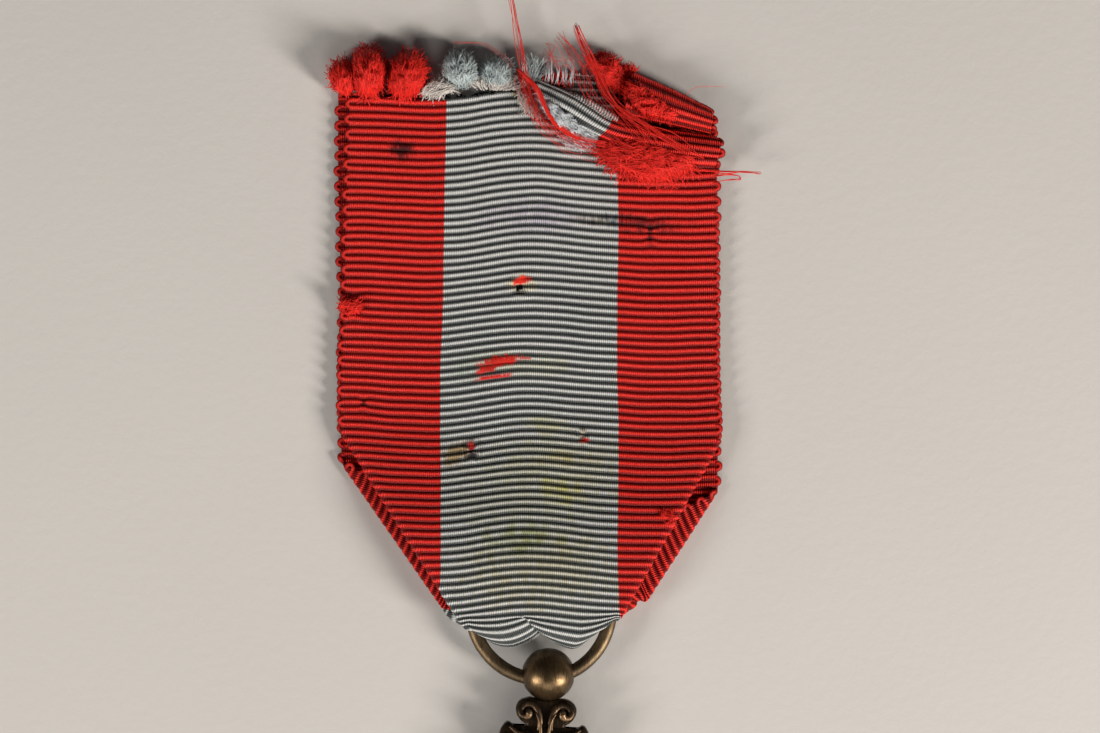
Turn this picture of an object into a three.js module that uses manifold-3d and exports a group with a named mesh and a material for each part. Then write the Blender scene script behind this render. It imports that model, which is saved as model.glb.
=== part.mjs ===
// A military service medal lying face up: a ribbed silk ribbon doubled through a suspension ring, a pierced
// ball that runs on the ring, a scrolled bracket, and a built-up medal of frame, planchet, wreath, swords and star.
// Millimetres. X runs across the ribbon, Y up its length and Z up from the surface that it lies on.
import * as THREE from "three";
import { mergeVertices } from "three/addons/utils/BufferGeometryUtils.js";
import Module from "manifold-3d";

// ---- driving dimensions ----
// Heights along Y are measured from the centre of the suspension ring, and heights along Z from the surface.
const RIBBON_WIDTH = 37;
const RIBBON_CENTRE = -1.2; // the ribbon lies a little to the left of the ring
const CLOTH = 0.4; // thickness of one layer of ribbon
const LAYER_GAP = 0.15; // between two layers that lie on each other
const DOUBLED = 0.9; // the front taper with its own turned-under sides
const FRONT_TOP = 51;
const BACK_TOP = 53.4;
const FLEX_LINE = 18.3; // the ribbon bends here, just above the pleats
const FLEX_GAP = 0.3; // open length of the bend
const TAPER_END = -1.6; // the pleated ribbon turns down through the ring here
const FOLD_DEPTH = 1.3; // how far the turned fold stands beyond the taper's end
const TUFT_RISE = 4.2; // how far the frayed ends stand beyond the weave

const WIRE_RADIUS = 0.67;
const RING_RADIUS = 6.81; // to the centre of the wire
const RING_DROP = 0.83; // the ring's far side lies this much lower than the side in the ball

const BALL_RADIUS = 2.6;
const BALL_TURN = THREE.MathUtils.degToRad(6.5); // how far round the ring the ball sits from its lowest point
const BALL_INSET = 0.42; // the ball's centre lies this much inside the wire's centre line
const BORE_RADIUS = 1.3;
const PEG_RADIUS = 0.6;
const METAL_GAP = 0.12; // between two metal pieces that are brazed or seated together
const MEDAL_LEAN = THREE.MathUtils.degToRad(-3.5); // the medal hangs this far off the ribbon's line

const MEDAL_RADIUS = 16;
const MEDAL_CENTRE = -25.6; // from the ball's centre
const FRAME_HALF = 1.3; // half the frame's thickness
const LIP_RADIUS = 13.3; // inside of the frame's front lip
const SEAT_RADIUS = 14.2; // inside of the frame behind the lip
const LIP_BACK = 0.55; // height of the lip's underside above the medal's middle plane
const PLANCHET_BACK = -0.65;
const PLANCHET_FRONT = 0.25;
const BRACKET_HALF = 1.1; // half the bracket's thickness

const RING_TILT = Math.asin(RING_DROP / (2 * RING_RADIUS));
const BALL_ORBIT = RING_RADIUS - BALL_INSET;
const MEDAL_TILT = Math.asin(FRAME_HALF / (MEDAL_RADIUS - MEDAL_CENTRE)); // lets the far rim touch the surface

const wasm = await Module();
wasm.setup();

// ---- materials ----
const paint = (colour, roughness, metalness) =>
  new THREE.MeshStandardMaterial({ color: colour, roughness, metalness });
const redSilk = paint(0xb01f18, 0.6, 0);
const greySilk = paint(0xb9bcb8, 0.55, 0);
const agedBronze = paint(0x6f5430, 0.42, 1);
const darkBronze = paint(0x4a3a26, 0.5, 1);

// ---- solids: joining and cutting ----
function toSolid(geometry) {
  const bare = geometry.clone();
  bare.deleteAttribute("normal");
  bare.deleteAttribute("uv");
  const merged = mergeVertices(bare, 1e-4);
  return new wasm.Manifold(
    new wasm.Mesh({
      numProp: 3,
      vertProperties: merged.attributes.position.array,
      triVerts: new Uint32Array(merged.index.array),
    }),
  );
}

function toGeometry(solid) {
  const mesh = solid.getMesh();
  const geometry = new THREE.BufferGeometry();
  geometry.setAttribute("position", new THREE.BufferAttribute(mesh.vertProperties, 3));
  geometry.setIndex(new THREE.BufferAttribute(mesh.triVerts, 1));
  geometry.computeVertexNormals();
  return geometry;
}

function cut(geometry, ...tools) {
  return toGeometry(tools.reduce((left, tool) => left.subtract(toSolid(tool)), toSolid(geometry)));
}

function join(...geometries) {
  return toGeometry(geometries.map(toSolid).reduce((whole, next) => whole.add(next)));
}

// A rod of the given radius along Y, from one height to another.
function rod(radius, from, to, sides = 20) {
  return new THREE.CylinderGeometry(radius, radius, to - from, sides).translate(0, (from + to) / 2, 0);
}

// A flat plate of the given outline in X and Y, from one height to another along Z.
function plate(shape, low, high, options = {}) {
  const settings = { depth: high - low, bevelEnabled: false, curveSegments: 10, ...options };
  return new THREE.ExtrudeGeometry(shape, settings).translate(0, 0, low);
}

// A ring or disc about Z from a closed profile of [radius, height] points, anticlockwise.
function turned(profile, sides) {
  const points = [...profile, profile[0]].map(([radius, height]) => new THREE.Vector2(radius, height));
  return new THREE.LatheGeometry(points, sides).rotateX(Math.PI / 2);
}

// ---- the ribbon ----
// Straight line through (y0, x0) and (y1, x1), read at y.
const across = (y0, x0, y1, x1) => (y) => THREE.MathUtils.mapLinear(y, y0, y1, x0, x1);

// A closed sheet between two edges left(y) and right(y), resting at height low(y) and thick(y) deep.
function sheet({ left, right, low, thick, from, to, rows, columns }) {
  const stride = columns + 1;
  const layer = (rows + 1) * stride;
  const positions = [];
  for (const top of [0, 1])
    for (let row = 0; row <= rows; row++)
      for (let column = 0; column <= columns; column++) {
        const y = THREE.MathUtils.lerp(from, to, row / rows);
        const x = THREE.MathUtils.lerp(left(y), right(y), column / columns);
        positions.push(x, y, low(y) + top * thick(y));
      }
  const faces = [];
  const quad = (a, b, c, d) => faces.push(a, b, c, a, c, d);
  for (let row = 0; row < rows; row++)
    for (let column = 0; column < columns; column++) {
      const a = row * stride + column;
      quad(a, a + stride, a + stride + 1, a + 1);
      quad(layer + a, layer + a + 1, layer + a + stride + 1, layer + a + stride);
    }
  for (let row = 0; row < rows; row++)
    for (const [column, side] of [[0, 1], [columns, -1]]) {
      const a = row * stride + column;
      if (side > 0) quad(a, layer + a, layer + a + stride, a + stride);
      else quad(a, a + stride, layer + a + stride, layer + a);
    }
  for (let column = 0; column < columns; column++)
    for (const [row, side] of [[0, 1], [rows, -1]]) {
      const a = row * stride + column;
      if (side > 0) quad(a, a + 1, layer + a + 1, layer + a);
      else quad(a, layer + a, layer + a + 1, a + 1);
    }
  const geometry = new THREE.BufferGeometry();
  geometry.setAttribute("position", new THREE.Float32BufferAttribute(positions, 3));
  geometry.setIndex(faces);
  geometry.computeVertexNormals();
  return geometry;
}

const polygon = (points) => new THREE.Shape(points.map(([x, y]) => new THREE.Vector2(x, y)));

const EDGE_LEFT = RIBBON_CENTRE - RIBBON_WIDTH / 2;
const EDGE_RIGHT = RIBBON_CENTRE + RIBBON_WIDTH / 2;
const FRONT_DRAWN_IN = 0.5; // the front layer is a little narrower, drawn in by its waves
const FRONT_LEFT = EDGE_LEFT + FRONT_DRAWN_IN;
const FRONT_RIGHT = EDGE_RIGHT - FRONT_DRAWN_IN;
const FALL_FOOT = FLEX_LINE + FLEX_GAP / 2;
const LOOP_HEAD = FLEX_LINE - FLEX_GAP / 2;
const FRONT_LOW = CLOTH + LAYER_GAP;

// The front layer's end is torn away at a slant towards the right.
const TEAR_START = -2.1;
const TEAR_END = 7.8;
const TORN_TOP = 42.7;

function ribbonFront() {
  const outline = polygon([
    [FRONT_LEFT, FALL_FOOT],
    [FRONT_RIGHT, FALL_FOOT],
    [FRONT_RIGHT, TORN_TOP],
    [TEAR_END, TORN_TOP],
    [TEAR_START, FRONT_TOP],
    [FRONT_LEFT, FRONT_TOP],
  ]);
  return plate(outline, FRONT_LOW, FRONT_LOW + CLOTH);
}

// The back layer's right-hand corner slopes away.
const BACK_SLOPE_START = 8;
const BACK_CORNER = 49.6;

function ribbonBack() {
  const outline = polygon([
    [EDGE_LEFT, FALL_FOOT],
    [EDGE_RIGHT, FALL_FOOT],
    [EDGE_RIGHT, BACK_CORNER],
    [BACK_SLOPE_START, BACK_TOP],
    [TEAR_START + 1.2, BACK_TOP],
    [TEAR_START, FRONT_TOP],
    [EDGE_LEFT, FRONT_TOP],
  ]);
  return plate(outline, 0, CLOTH);
}

// The pleated edges run in straight lines from the full width to the ring.
const PLEAT_TOP = 17.1;
const RING_LEFT = -6.7;
const RING_RIGHT = 7;
const LEFT_PLEAT_FOOT = -2.7;
const RIGHT_PLEAT_FOOT = -1.9;
const pleatLeft = across(PLEAT_TOP, FRONT_LEFT, LEFT_PLEAT_FOOT, RING_LEFT);
const pleatRight = across(PLEAT_TOP, FRONT_RIGHT, RIGHT_PLEAT_FOOT, RING_RIGHT);
const OVER_RING = 3.1; // height of the front layer's underside where it crosses the wire
const RAMP_FOOT = 7.5; // the front layer has risen over the wire by this height along Y

function rampTo(y, start, end) {
  return THREE.MathUtils.clamp(THREE.MathUtils.mapLinear(y, LOOP_HEAD, RAMP_FOOT, start, end), start, end);
}

function taperFront() {
  return sheet({
    left: (y) => Math.max(FRONT_LEFT, pleatLeft(y)),
    right: (y) => Math.min(FRONT_RIGHT, pleatRight(y)),
    low: (y) => rampTo(y, FRONT_LOW, OVER_RING),
    thick: (y) => rampTo(y, CLOTH, DOUBLED),
    from: TAPER_END,
    to: LOOP_HEAD,
    rows: 14,
    columns: 6,
  });
}

const BACK_PLEAT_LEFT_TOP = 15.5;
const BACK_PLEAT_RIGHT_TOP = 12.8;
const BACK_PLEAT_OUT = 0.6; // the back layer's pleats lie this far outside the front's at the ring

function taperBack() {
  const left = across(BACK_PLEAT_LEFT_TOP, EDGE_LEFT, LEFT_PLEAT_FOOT, RING_LEFT - BACK_PLEAT_OUT);
  const right = across(BACK_PLEAT_RIGHT_TOP, EDGE_RIGHT, RIGHT_PLEAT_FOOT, RING_RIGHT + BACK_PLEAT_OUT);
  return sheet({
    left: (y) => Math.max(EDGE_LEFT, left(y)),
    right: (y) => Math.min(EDGE_RIGHT, right(y)),
    low: () => 0,
    thick: () => CLOTH,
    from: TAPER_END,
    to: LOOP_HEAD,
    rows: 14,
    columns: 4,
  });
}

// The side of the back layer, turned in over itself: a triangle from the pleat's top, to the ring, to its inner corner.
function tuck(top, ring, inner) {
  return plate(polygon([top, inner, ring]), FRONT_LOW, FRONT_LOW + CLOTH);
}

const tuckLeft = () => tuck([-18.1, 14.4], [RING_LEFT - 0.1, LEFT_PLEAT_FOOT + 0.5], [-1.3, 8.2]);
const tuckRight = () => tuck([0.4, 7.1], [RING_RIGHT + 0.4, RIGHT_PLEAT_FOOT + 0.5], [15.8, 14.4]);

// The bottom of the loop, inside the ring, where the ribbon turns from front to back.
const FOLD_HALF = 4.6;
const FOLD_STEPS = 10;

function ribbonFold() {
  const middle = (OVER_RING + DOUBLED) / 2;
  const arc = (depth, height) =>
    Array.from({ length: FOLD_STEPS + 1 }, (_, step) => {
      const angle = Math.PI * (step / FOLD_STEPS) - Math.PI / 2;
      return new THREE.Vector2(depth * Math.cos(angle), middle + height * Math.sin(angle));
    });
  const outer = arc(FOLD_DEPTH, middle);
  const inner = arc(FOLD_DEPTH - CLOTH, middle - CLOTH).reverse();
  const section = new THREE.Shape([...outer, ...inner]);
  const along = new THREE.ExtrudeGeometry(section, { depth: 2 * FOLD_HALF, bevelEnabled: false });
  // The section's X becomes -Y, its Y becomes Z, and its length runs along X.
  const turn = new THREE.Matrix4().makeBasis(
    new THREE.Vector3(0, -1, 0),
    new THREE.Vector3(0, 0, 1),
    new THREE.Vector3(-1, 0, 0),
  );
  return along.applyMatrix4(turn).translate(FOLD_HALF, TAPER_END - LAYER_GAP, 0);
}

// Frayed yarn: a strip with a lobed outer edge. direction is +1 for lobes towards +Y.
function tufts({ left, right, root, rise, lobes, low, high }) {
  const shape = new THREE.Shape();
  const steps = lobes * 6;
  shape.moveTo(left, root);
  for (let step = 0; step <= steps; step++) {
    const part = step / steps;
    const lobe = 0.62 + 0.38 * Math.abs(Math.sin(part * lobes * Math.PI));
    shape.lineTo(THREE.MathUtils.lerp(left, right, part), root + rise * lobe);
  }
  shape.lineTo(right, root);
  return plate(shape, low, high);
}

const FRAY_SPLIT = -11; // the red yarn of the left border ends here
const frayLeft = () =>
  tufts({
    left: EDGE_LEFT - 0.6,
    right: FRAY_SPLIT - LAYER_GAP,
    root: FRONT_TOP + LAYER_GAP,
    rise: TUFT_RISE,
    lobes: 2,
    low: 0,
    high: 2.6,
  });
const frayCentre = () =>
  tufts({
    left: FRAY_SPLIT,
    right: TEAR_START,
    root: FRONT_TOP + LAYER_GAP,
    rise: TUFT_RISE - 0.6,
    lobes: 3,
    low: 0,
    high: 2.2,
  });
const frayTear = () =>
  tufts({
    left: TEAR_END + LAYER_GAP,
    right: FRONT_RIGHT,
    root: TORN_TOP + LAYER_GAP,
    rise: 3.6,
    lobes: 3,
    low: FRONT_LOW,
    high: FRONT_LOW + 1.1,
  });
const frayBack = () =>
  tufts({
    left: 1,
    right: BACK_SLOPE_START + 1,
    root: BACK_TOP + LAYER_GAP,
    rise: 1.6,
    lobes: 3,
    low: 0,
    high: 1.6,
  });

// ---- ring and ball ----
const suspensionRing = () => new THREE.TorusGeometry(RING_RADIUS, WIRE_RADIUS, 14, 56);

// The ball, in its own frame: bored along X for the ring, with a socket below for the peg.
function suspensionBall() {
  const ball = new THREE.SphereGeometry(BALL_RADIUS, 32, 20);
  const bore = rod(BORE_RADIUS, -2 * BALL_RADIUS, 2 * BALL_RADIUS, 24).rotateZ(Math.PI / 2);
  return cut(ball, bore);
}

// ---- the bracket ----
// Right-hand half of the outline, from the ball's seat down to the foot on the frame, in the medal's frame.
const BRACKET_SIDE = [
  [1.7, -2.25],
  [2.83, -2.9],
  [2.95, -3.75],
  [2.62, -4.4],
  [1.92, -4.95],
  [2.45, -5.34],
  [3.04, -5.22],
  [3.66, -4.82],
  [4.1, -5.16],
  [4.45, -6],
  [4.3, -7],
  [3.7, -7.9],
  [3.9, -8.8],
  [5.1, -9.5],
  [6.5, -9.9],
];
const FOOT_RADIUS = MEDAL_RADIUS + METAL_GAP;
const KEY_HALF_WIDTH = 1.1;
const KEY_HALF_THICKNESS = 0.45;
const KEY_LENGTH = 2.2;
const KEY_MIDDLE = MEDAL_CENTRE + MEDAL_RADIUS;

function bracketOutline() {
  const side = BRACKET_SIDE.map(([x, y]) => new THREE.Vector2(x, y));
  const shape = new THREE.Shape();
  shape.moveTo(0, -BALL_RADIUS);
  shape.lineTo(side[0].x, side[0].y);
  shape.splineThru(side.slice(1));
  const footX = side.at(-1).x;
  const footAngle = Math.acos(footX / FOOT_RADIUS);
  shape.absarc(0, MEDAL_CENTRE, FOOT_RADIUS, footAngle, Math.PI - footAngle, false);
  shape.lineTo(-side.at(-1).x, side.at(-1).y);
  shape.splineThru(side.slice(0, -1).reverse().map((p) => new THREE.Vector2(-p.x, p.y)));
  return shape;
}

// A slot or a tongue centred on the joint between bracket and frame, grown by extra on every side.
const keyBlock = (extra) =>
  new THREE.BoxGeometry(
    2 * (KEY_HALF_WIDTH + extra),
    KEY_LENGTH + 2 * extra,
    2 * (KEY_HALF_THICKNESS + extra),
  ).translate(0, KEY_MIDDLE, 0);

const PEG_TOP = -1.45;
const PEG_FOOT = -4.4;

function scrollBracket() {
  const body = plate(bracketOutline(), -BRACKET_HALF, BRACKET_HALF, { curveSegments: 3 });
  const seat = new THREE.SphereGeometry(BALL_RADIUS + METAL_GAP, 32, 20);
  const socket = rod(PEG_RADIUS + METAL_GAP, PEG_FOOT - METAL_GAP, 0, 16);
  return cut(body, seat, socket, keyBlock(METAL_GAP));
}

// ---- the medal ----
const SIDES = 64;

function rimFrame() {
  const lipTop = FRAME_HALF - 0.25;
  const ring = turned(
    [
      [SEAT_RADIUS, -FRAME_HALF],
      [MEDAL_RADIUS - 0.3, -FRAME_HALF],
      [MEDAL_RADIUS, -FRAME_HALF + 0.3],
      [MEDAL_RADIUS, FRAME_HALF - 0.3],
      [MEDAL_RADIUS - 0.3, FRAME_HALF],
      [LIP_RADIUS + 0.6, FRAME_HALF],
      [LIP_RADIUS, lipTop],
      [LIP_RADIUS, LIP_BACK],
      [SEAT_RADIUS, LIP_BACK],
    ],
    SIDES,
  ).translate(0, MEDAL_CENTRE, 0);
  return cut(ring, keyBlock(METAL_GAP));
}

const RIVET_RADIUS = 0.6;

function planchet() {
  const edge = SEAT_RADIUS - 0.2;
  const hole = RIVET_RADIUS + METAL_GAP;
  return turned(
    [
      [hole, PLANCHET_BACK],
      [edge, PLANCHET_BACK],
      [edge, PLANCHET_FRONT],
      [hole, PLANCHET_FRONT],
    ],
    SIDES,
  ).translate(0, MEDAL_CENTRE, 0);
}

// A split ring sprung in behind the planchet.
function retainingRing() {
  const outer = SEAT_RADIUS - 0.2;
  const ring = turned(
    [
      [outer - 1.3, -FRAME_HALF + 0.05],
      [outer, -FRAME_HALF + 0.05],
      [outer, PLANCHET_BACK - METAL_GAP],
      [outer - 1.3, PLANCHET_BACK - METAL_GAP],
    ],
    SIDES,
  );
  const split = new THREE.BoxGeometry(1, 4, 2).translate(0, -outer, -1);
  return cut(ring, split).translate(0, MEDAL_CENTRE, 0);
}

const FIELD = PLANCHET_FRONT + METAL_GAP; // the height that applied pieces stand on
const WREATH_RADIUS = 10.7;
const WREATH_HALF = 1.35;
const WREATH_HEIGHT = 0.55;
const LEAF_BULGE = 0.55;
const LEAF_PAIRS = 9;
const WREATH_FOOT = THREE.MathUtils.degToRad(14); // from straight down to the branch's foot
const WREATH_TIP = THREE.MathUtils.degToRad(158);

// One branch of the wreath, on the side given: -1 for left and +1 for right.
function branch(side) {
  const steps = LEAF_PAIRS * 6;
  const edge = (outward) =>
    Array.from({ length: steps + 1 }, (_, step) => {
      const part = step / steps;
      const angle = THREE.MathUtils.lerp(WREATH_FOOT, WREATH_TIP, part);
      const leaf = WREATH_HALF + LEAF_BULGE * Math.abs(Math.sin(part * LEAF_PAIRS * Math.PI));
      const ends = Math.min(1, part * 6 + 0.35, (1 - part) * 6 + 0.12);
      const radius = WREATH_RADIUS + outward * leaf * ends;
      return [side * radius * Math.sin(angle), MEDAL_CENTRE - radius * Math.cos(angle)];
    });
  return plate(polygon([...edge(1), ...edge(-1).reverse()]), FIELD, FIELD + WREATH_HEIGHT);
}

function wreathKnot() {
  const bow = new THREE.Shape();
  bow.absellipse(0, MEDAL_CENTRE - WREATH_RADIUS, 1.9, 1.25, 0, 2 * Math.PI, false, 0);
  return plate(bow, FIELD, FIELD + 0.8, { curveSegments: 20 });
}

// One sword lying along Y, point up, centred on the origin.
function swordOutline() {
  return polygon([
    [-0.32, -7.4],
    [0.32, -7.4],
    [0.32, -5.7],
    [1.35, -5.7],
    [1.35, -5.2],
    [0.48, -5.2],
    [0.42, 7.2],
    [0, 8.3],
    [-0.42, 7.2],
    [-0.48, -5.2],
    [-1.35, -5.2],
    [-1.35, -5.7],
    [-0.32, -5.7],
  ]);
}

const SWORD_ANGLE = Math.PI / 4;
const SWORD_HEIGHT = 0.42;
const STAR_LOW = FIELD + SWORD_HEIGHT + METAL_GAP;

function crossedSwords() {
  const sword = (angle) => plate(swordOutline(), FIELD, FIELD + SWORD_HEIGHT).rotateZ(angle);
  const boss = rod(1.5, FIELD, FIELD + SWORD_HEIGHT).rotateX(Math.PI / 2);
  const hole = rod(RIVET_RADIUS + METAL_GAP, -3, 3).rotateX(Math.PI / 2);
  return cut(join(sword(SWORD_ANGLE), sword(-SWORD_ANGLE), boss), hole).translate(0, MEDAL_CENTRE, 0);
}

const STAR_TIP = 4.9;
const STAR_WAIST = 2;
const STAR_EDGE = 0.2;
const STAR_RISE = 1;

// A five-pointed star with ten facets rising to a peak.
function centreStar() {
  const corners = Array.from({ length: 10 }, (_, i) => {
    const angle = Math.PI / 2 + (i * Math.PI) / 5;
    const radius = i % 2 ? STAR_WAIST : STAR_TIP;
    return [radius * Math.cos(angle), MEDAL_CENTRE + radius * Math.sin(angle)];
  });
  const positions = [0, MEDAL_CENTRE, STAR_LOW, 0, MEDAL_CENTRE, STAR_LOW + STAR_RISE];
  for (const [x, y] of corners) positions.push(x, y, STAR_LOW, x, y, STAR_LOW + STAR_EDGE);
  const faces = [];
  for (let i = 0; i < 10; i++) {
    const low = 2 + 2 * i;
    const next = 2 + 2 * ((i + 1) % 10);
    faces.push(0, next, low, 1, low + 1, next + 1);
    faces.push(low, next, next + 1, low, next + 1, low + 1);
  }
  const geometry = new THREE.BufferGeometry();
  geometry.setAttribute("position", new THREE.Float32BufferAttribute(positions, 3));
  geometry.setIndex(faces);
  geometry.computeVertexNormals();
  return geometry;
}

// The rivet runs from a domed head on the reverse to the underside of the star.
function starRivet() {
  const head = PLANCHET_BACK - METAL_GAP;
  const top = STAR_LOW - METAL_GAP;
  const profile = [
    [0, head - 0.45],
    [0.7, head - 0.38],
    [1.3, head - 0.12],
    [1.3, head],
    [RIVET_RADIUS, head],
    [RIVET_RADIUS, top],
    [0, top],
  ];
  const points = profile.map(([radius, height]) => new THREE.Vector2(radius, height));
  return new THREE.LatheGeometry(points, 20).rotateX(Math.PI / 2).translate(0, MEDAL_CENTRE, 0);
}

// ---- assembly ----
function named(name, geometry, material) {
  const mesh = new THREE.Mesh(geometry, material);
  mesh.name = name;
  return mesh;
}

const ribbon = new THREE.Group();
ribbon.add(
  named("ribbon_front", ribbonFront(), redSilk),
  named("ribbon_back", ribbonBack(), redSilk),
  named("ribbon_taper_front", taperFront(), redSilk),
  named("ribbon_taper_back", taperBack(), redSilk),
  named("ribbon_tuck_left", tuckLeft(), redSilk),
  named("ribbon_tuck_right", tuckRight(), redSilk),
  named("ribbon_fold", ribbonFold(), greySilk),
  named("fray_front_left", frayLeft(), redSilk),
  named("fray_front_centre", frayCentre(), greySilk),
  named("fray_front_tear", frayTear(), redSilk),
  named("fray_back", frayBack(), redSilk),
);

// The ring's frame: its far side is lower than its near side, which the ball holds up.
const ringTop = BALL_RADIUS - RING_RADIUS * Math.sin(RING_TILT);
const ring = new THREE.Group();
ring.position.set(0, 0, ringTop);
ring.rotation.x = -RING_TILT;
ring.add(named("suspension_ring", suspensionRing(), agedBronze));

// The medal's frame: its origin is the ball's centre, -Y runs down to the medal, and it leans on the ball.
const ballPlace = new THREE.Vector3(BALL_ORBIT * Math.sin(BALL_TURN), -BALL_ORBIT * Math.cos(BALL_TURN), BALL_RADIUS);
const peg = rod(PEG_RADIUS, PEG_FOOT, PEG_TOP, 16);
const socket = rod(PEG_RADIUS + METAL_GAP, -BALL_RADIUS - 1, 0, 16);
const medal = new THREE.Group();
medal.position.copy(ballPlace);
medal.rotation.set(MEDAL_TILT, 0, MEDAL_LEAN, "ZXY");
medal.add(
  named(
    "suspension_ball",
    cut(suspensionBall().rotateZ(BALL_TURN - MEDAL_LEAN), socket),
    agedBronze,
  ),
  named("ball_peg", peg, darkBronze),
  named("scroll_bracket", scrollBracket(), agedBronze),
  named("bracket_key", keyBlock(0), darkBronze),
  named("rim_frame", rimFrame(), agedBronze),
  named("planchet", planchet(), agedBronze),
  named("retaining_ring", retainingRing(), darkBronze),
  named("wreath_left", branch(-1), agedBronze),
  named("wreath_right", branch(1), agedBronze),
  named("wreath_knot", wreathKnot(), agedBronze),
  named("crossed_swords", crossedSwords(), agedBronze),
  named("centre_star", centreStar(), agedBronze),
  named("star_rivet", starRivet(), darkBronze),
);

// The object's origin is the middle of its footprint.
const object = new THREE.Group();
object.add(ribbon, ring, medal);
object.updateMatrixWorld(true);
const box = new THREE.Box3().setFromObject(object, true);
object.position.set(-(box.min.x + box.max.x) / 2, -(box.min.y + box.max.y) / 2, -box.min.z);
object.updateMatrixWorld(true);

export default object;
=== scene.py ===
"""A military service medal on its worn silk ribbon, lying face up on a pale board."""
import math

import bmesh
import bpy
import numpy as np
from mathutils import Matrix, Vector


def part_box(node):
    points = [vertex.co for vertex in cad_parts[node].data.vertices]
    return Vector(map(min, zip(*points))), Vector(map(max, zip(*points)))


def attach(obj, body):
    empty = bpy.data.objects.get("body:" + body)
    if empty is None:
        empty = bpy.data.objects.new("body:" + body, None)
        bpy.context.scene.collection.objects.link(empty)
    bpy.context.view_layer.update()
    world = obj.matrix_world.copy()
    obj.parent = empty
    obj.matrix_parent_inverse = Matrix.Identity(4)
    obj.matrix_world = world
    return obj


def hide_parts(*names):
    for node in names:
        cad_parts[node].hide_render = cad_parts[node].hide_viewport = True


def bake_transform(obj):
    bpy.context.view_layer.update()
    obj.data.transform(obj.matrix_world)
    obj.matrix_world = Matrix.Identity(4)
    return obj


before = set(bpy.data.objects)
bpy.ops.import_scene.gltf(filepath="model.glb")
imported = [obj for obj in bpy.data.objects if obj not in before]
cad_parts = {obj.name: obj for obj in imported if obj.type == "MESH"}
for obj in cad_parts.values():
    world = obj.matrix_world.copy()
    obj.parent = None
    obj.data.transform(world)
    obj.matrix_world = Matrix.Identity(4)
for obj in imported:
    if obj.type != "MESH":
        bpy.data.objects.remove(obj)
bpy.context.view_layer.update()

# ---- places and sizes ----
# Lengths are in millimetres. X and Y are measured from the ring's centre, and Z from the board.
MM = 0.001
RING_LOW, RING_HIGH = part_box("suspension_ring")
ORIGIN = np.array([(RING_LOW[0] + RING_HIGH[0]) / 2, (RING_LOW[1] + RING_HIGH[1]) / 2, 0.0])


def to_row(points):
    """Millimetres from the ring's centre to metres in the row's frame."""
    return np.asarray(points, float) * MM + ORIGIN


# ---- camera, board and light ----
VIEW_CENTRE = (0.89, 23.87, 0.0)
VIEW_WIDTH = 108.3
CAMERA_HEIGHT = 520.0
CAMERA_CLIP = 0.01  # in metres
SENSOR_WIDTH = 36.0
LAMP_DISTANCE = 620.0
ROOM_COLOUR = (0.93, 0.96, 1.0, 1.0)
ROOM_STRENGTH = 0.045


def make_camera():
    data = bpy.data.cameras.new("camera")
    data.sensor_width = SENSOR_WIDTH
    data.lens = SENSOR_WIDTH * CAMERA_HEIGHT / VIEW_WIDTH
    data.clip_start = CAMERA_CLIP
    camera = bpy.data.objects.new("camera", data)
    camera.location = to_row((VIEW_CENTRE[0], VIEW_CENTRE[1], CAMERA_HEIGHT + 1.0))
    bpy.context.scene.collection.objects.link(camera)
    bpy.context.scene.camera = camera


def aim(obj, target):
    direction = Vector(target) - obj.location
    obj.rotation_euler = direction.to_track_quat("-Z", "Y").to_euler()


def soft_light(name, direction, size, power, colour):
    """A rectangular lamp that looks at the middle of the view from the given direction."""
    data = bpy.data.lights.new(name, "AREA")
    data.shape = "RECTANGLE"
    data.size, data.size_y = size[0] * MM, size[1] * MM
    data.energy = power
    data.color = colour
    lamp = bpy.data.objects.new(name, data)
    centre = to_row(VIEW_CENTRE)
    lamp.location = Vector(centre) + Vector(direction).normalized() * LAMP_DISTANCE * MM
    bpy.context.scene.collection.objects.link(lamp)
    aim(lamp, centre)


def make_lights():
    soft_light("lamp_right", (0.80, -0.46, 0.48), (130, 210), 4.45, (1.0, 0.945, 0.88))
    soft_light("lamp_left", (-0.80, -0.42, 0.48), (130, 210), 2.4, (1.0, 0.95, 0.90))
    soft_light("lamp_low", (0.0, -0.80, 0.60), (420, 260), 1.1, (1.0, 0.96, 0.91))
    world = bpy.data.worlds.new("room")
    world.use_nodes = True
    background = world.node_tree.nodes["Background"]
    background.inputs["Color"].default_value = ROOM_COLOUR
    background.inputs["Strength"].default_value = ROOM_STRENGTH
    bpy.context.scene.world = world
    bpy.context.scene.view_settings.view_transform = "Standard"


# ---- meshes ----
def add_mesh(name, points, faces, material, smooth=True):
    """An object from points in the row's frame and a list of faces."""
    mesh = bpy.data.meshes.new(name)
    mesh.from_pydata([tuple(p) for p in points], [], [tuple(int(i) for i in f) for f in faces])
    mesh.validate()
    mesh.materials.append(material)
    mesh.polygons.foreach_set("use_smooth", [smooth] * len(mesh.polygons))
    obj = bpy.data.objects.new(name, mesh)
    bpy.context.scene.collection.objects.link(obj)
    return obj


def add_quads(name, points, quads, material):
    """The same for a large all-quad mesh, set in bulk. Points that no face uses are left out."""
    used = np.unique(quads)
    renumber = np.full(len(points), -1)
    renumber[used] = np.arange(len(used))
    quads = renumber[quads].astype(np.int32)
    mesh = bpy.data.meshes.new(name)
    mesh.vertices.add(len(used))
    mesh.vertices.foreach_set("co", points[used].astype(np.float32).ravel())
    mesh.loops.add(quads.size)
    mesh.loops.foreach_set("vertex_index", quads.ravel())
    mesh.polygons.add(len(quads))
    mesh.polygons.foreach_set("loop_start", np.arange(0, quads.size, 4, dtype=np.int32))
    mesh.polygons.foreach_set("use_smooth", np.ones(len(quads), bool))
    mesh.update(calc_edges=True)
    mesh.validate()
    mesh.materials.append(material)
    obj = bpy.data.objects.new(name, mesh)
    bpy.context.scene.collection.objects.link(obj)
    return obj, used


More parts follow.
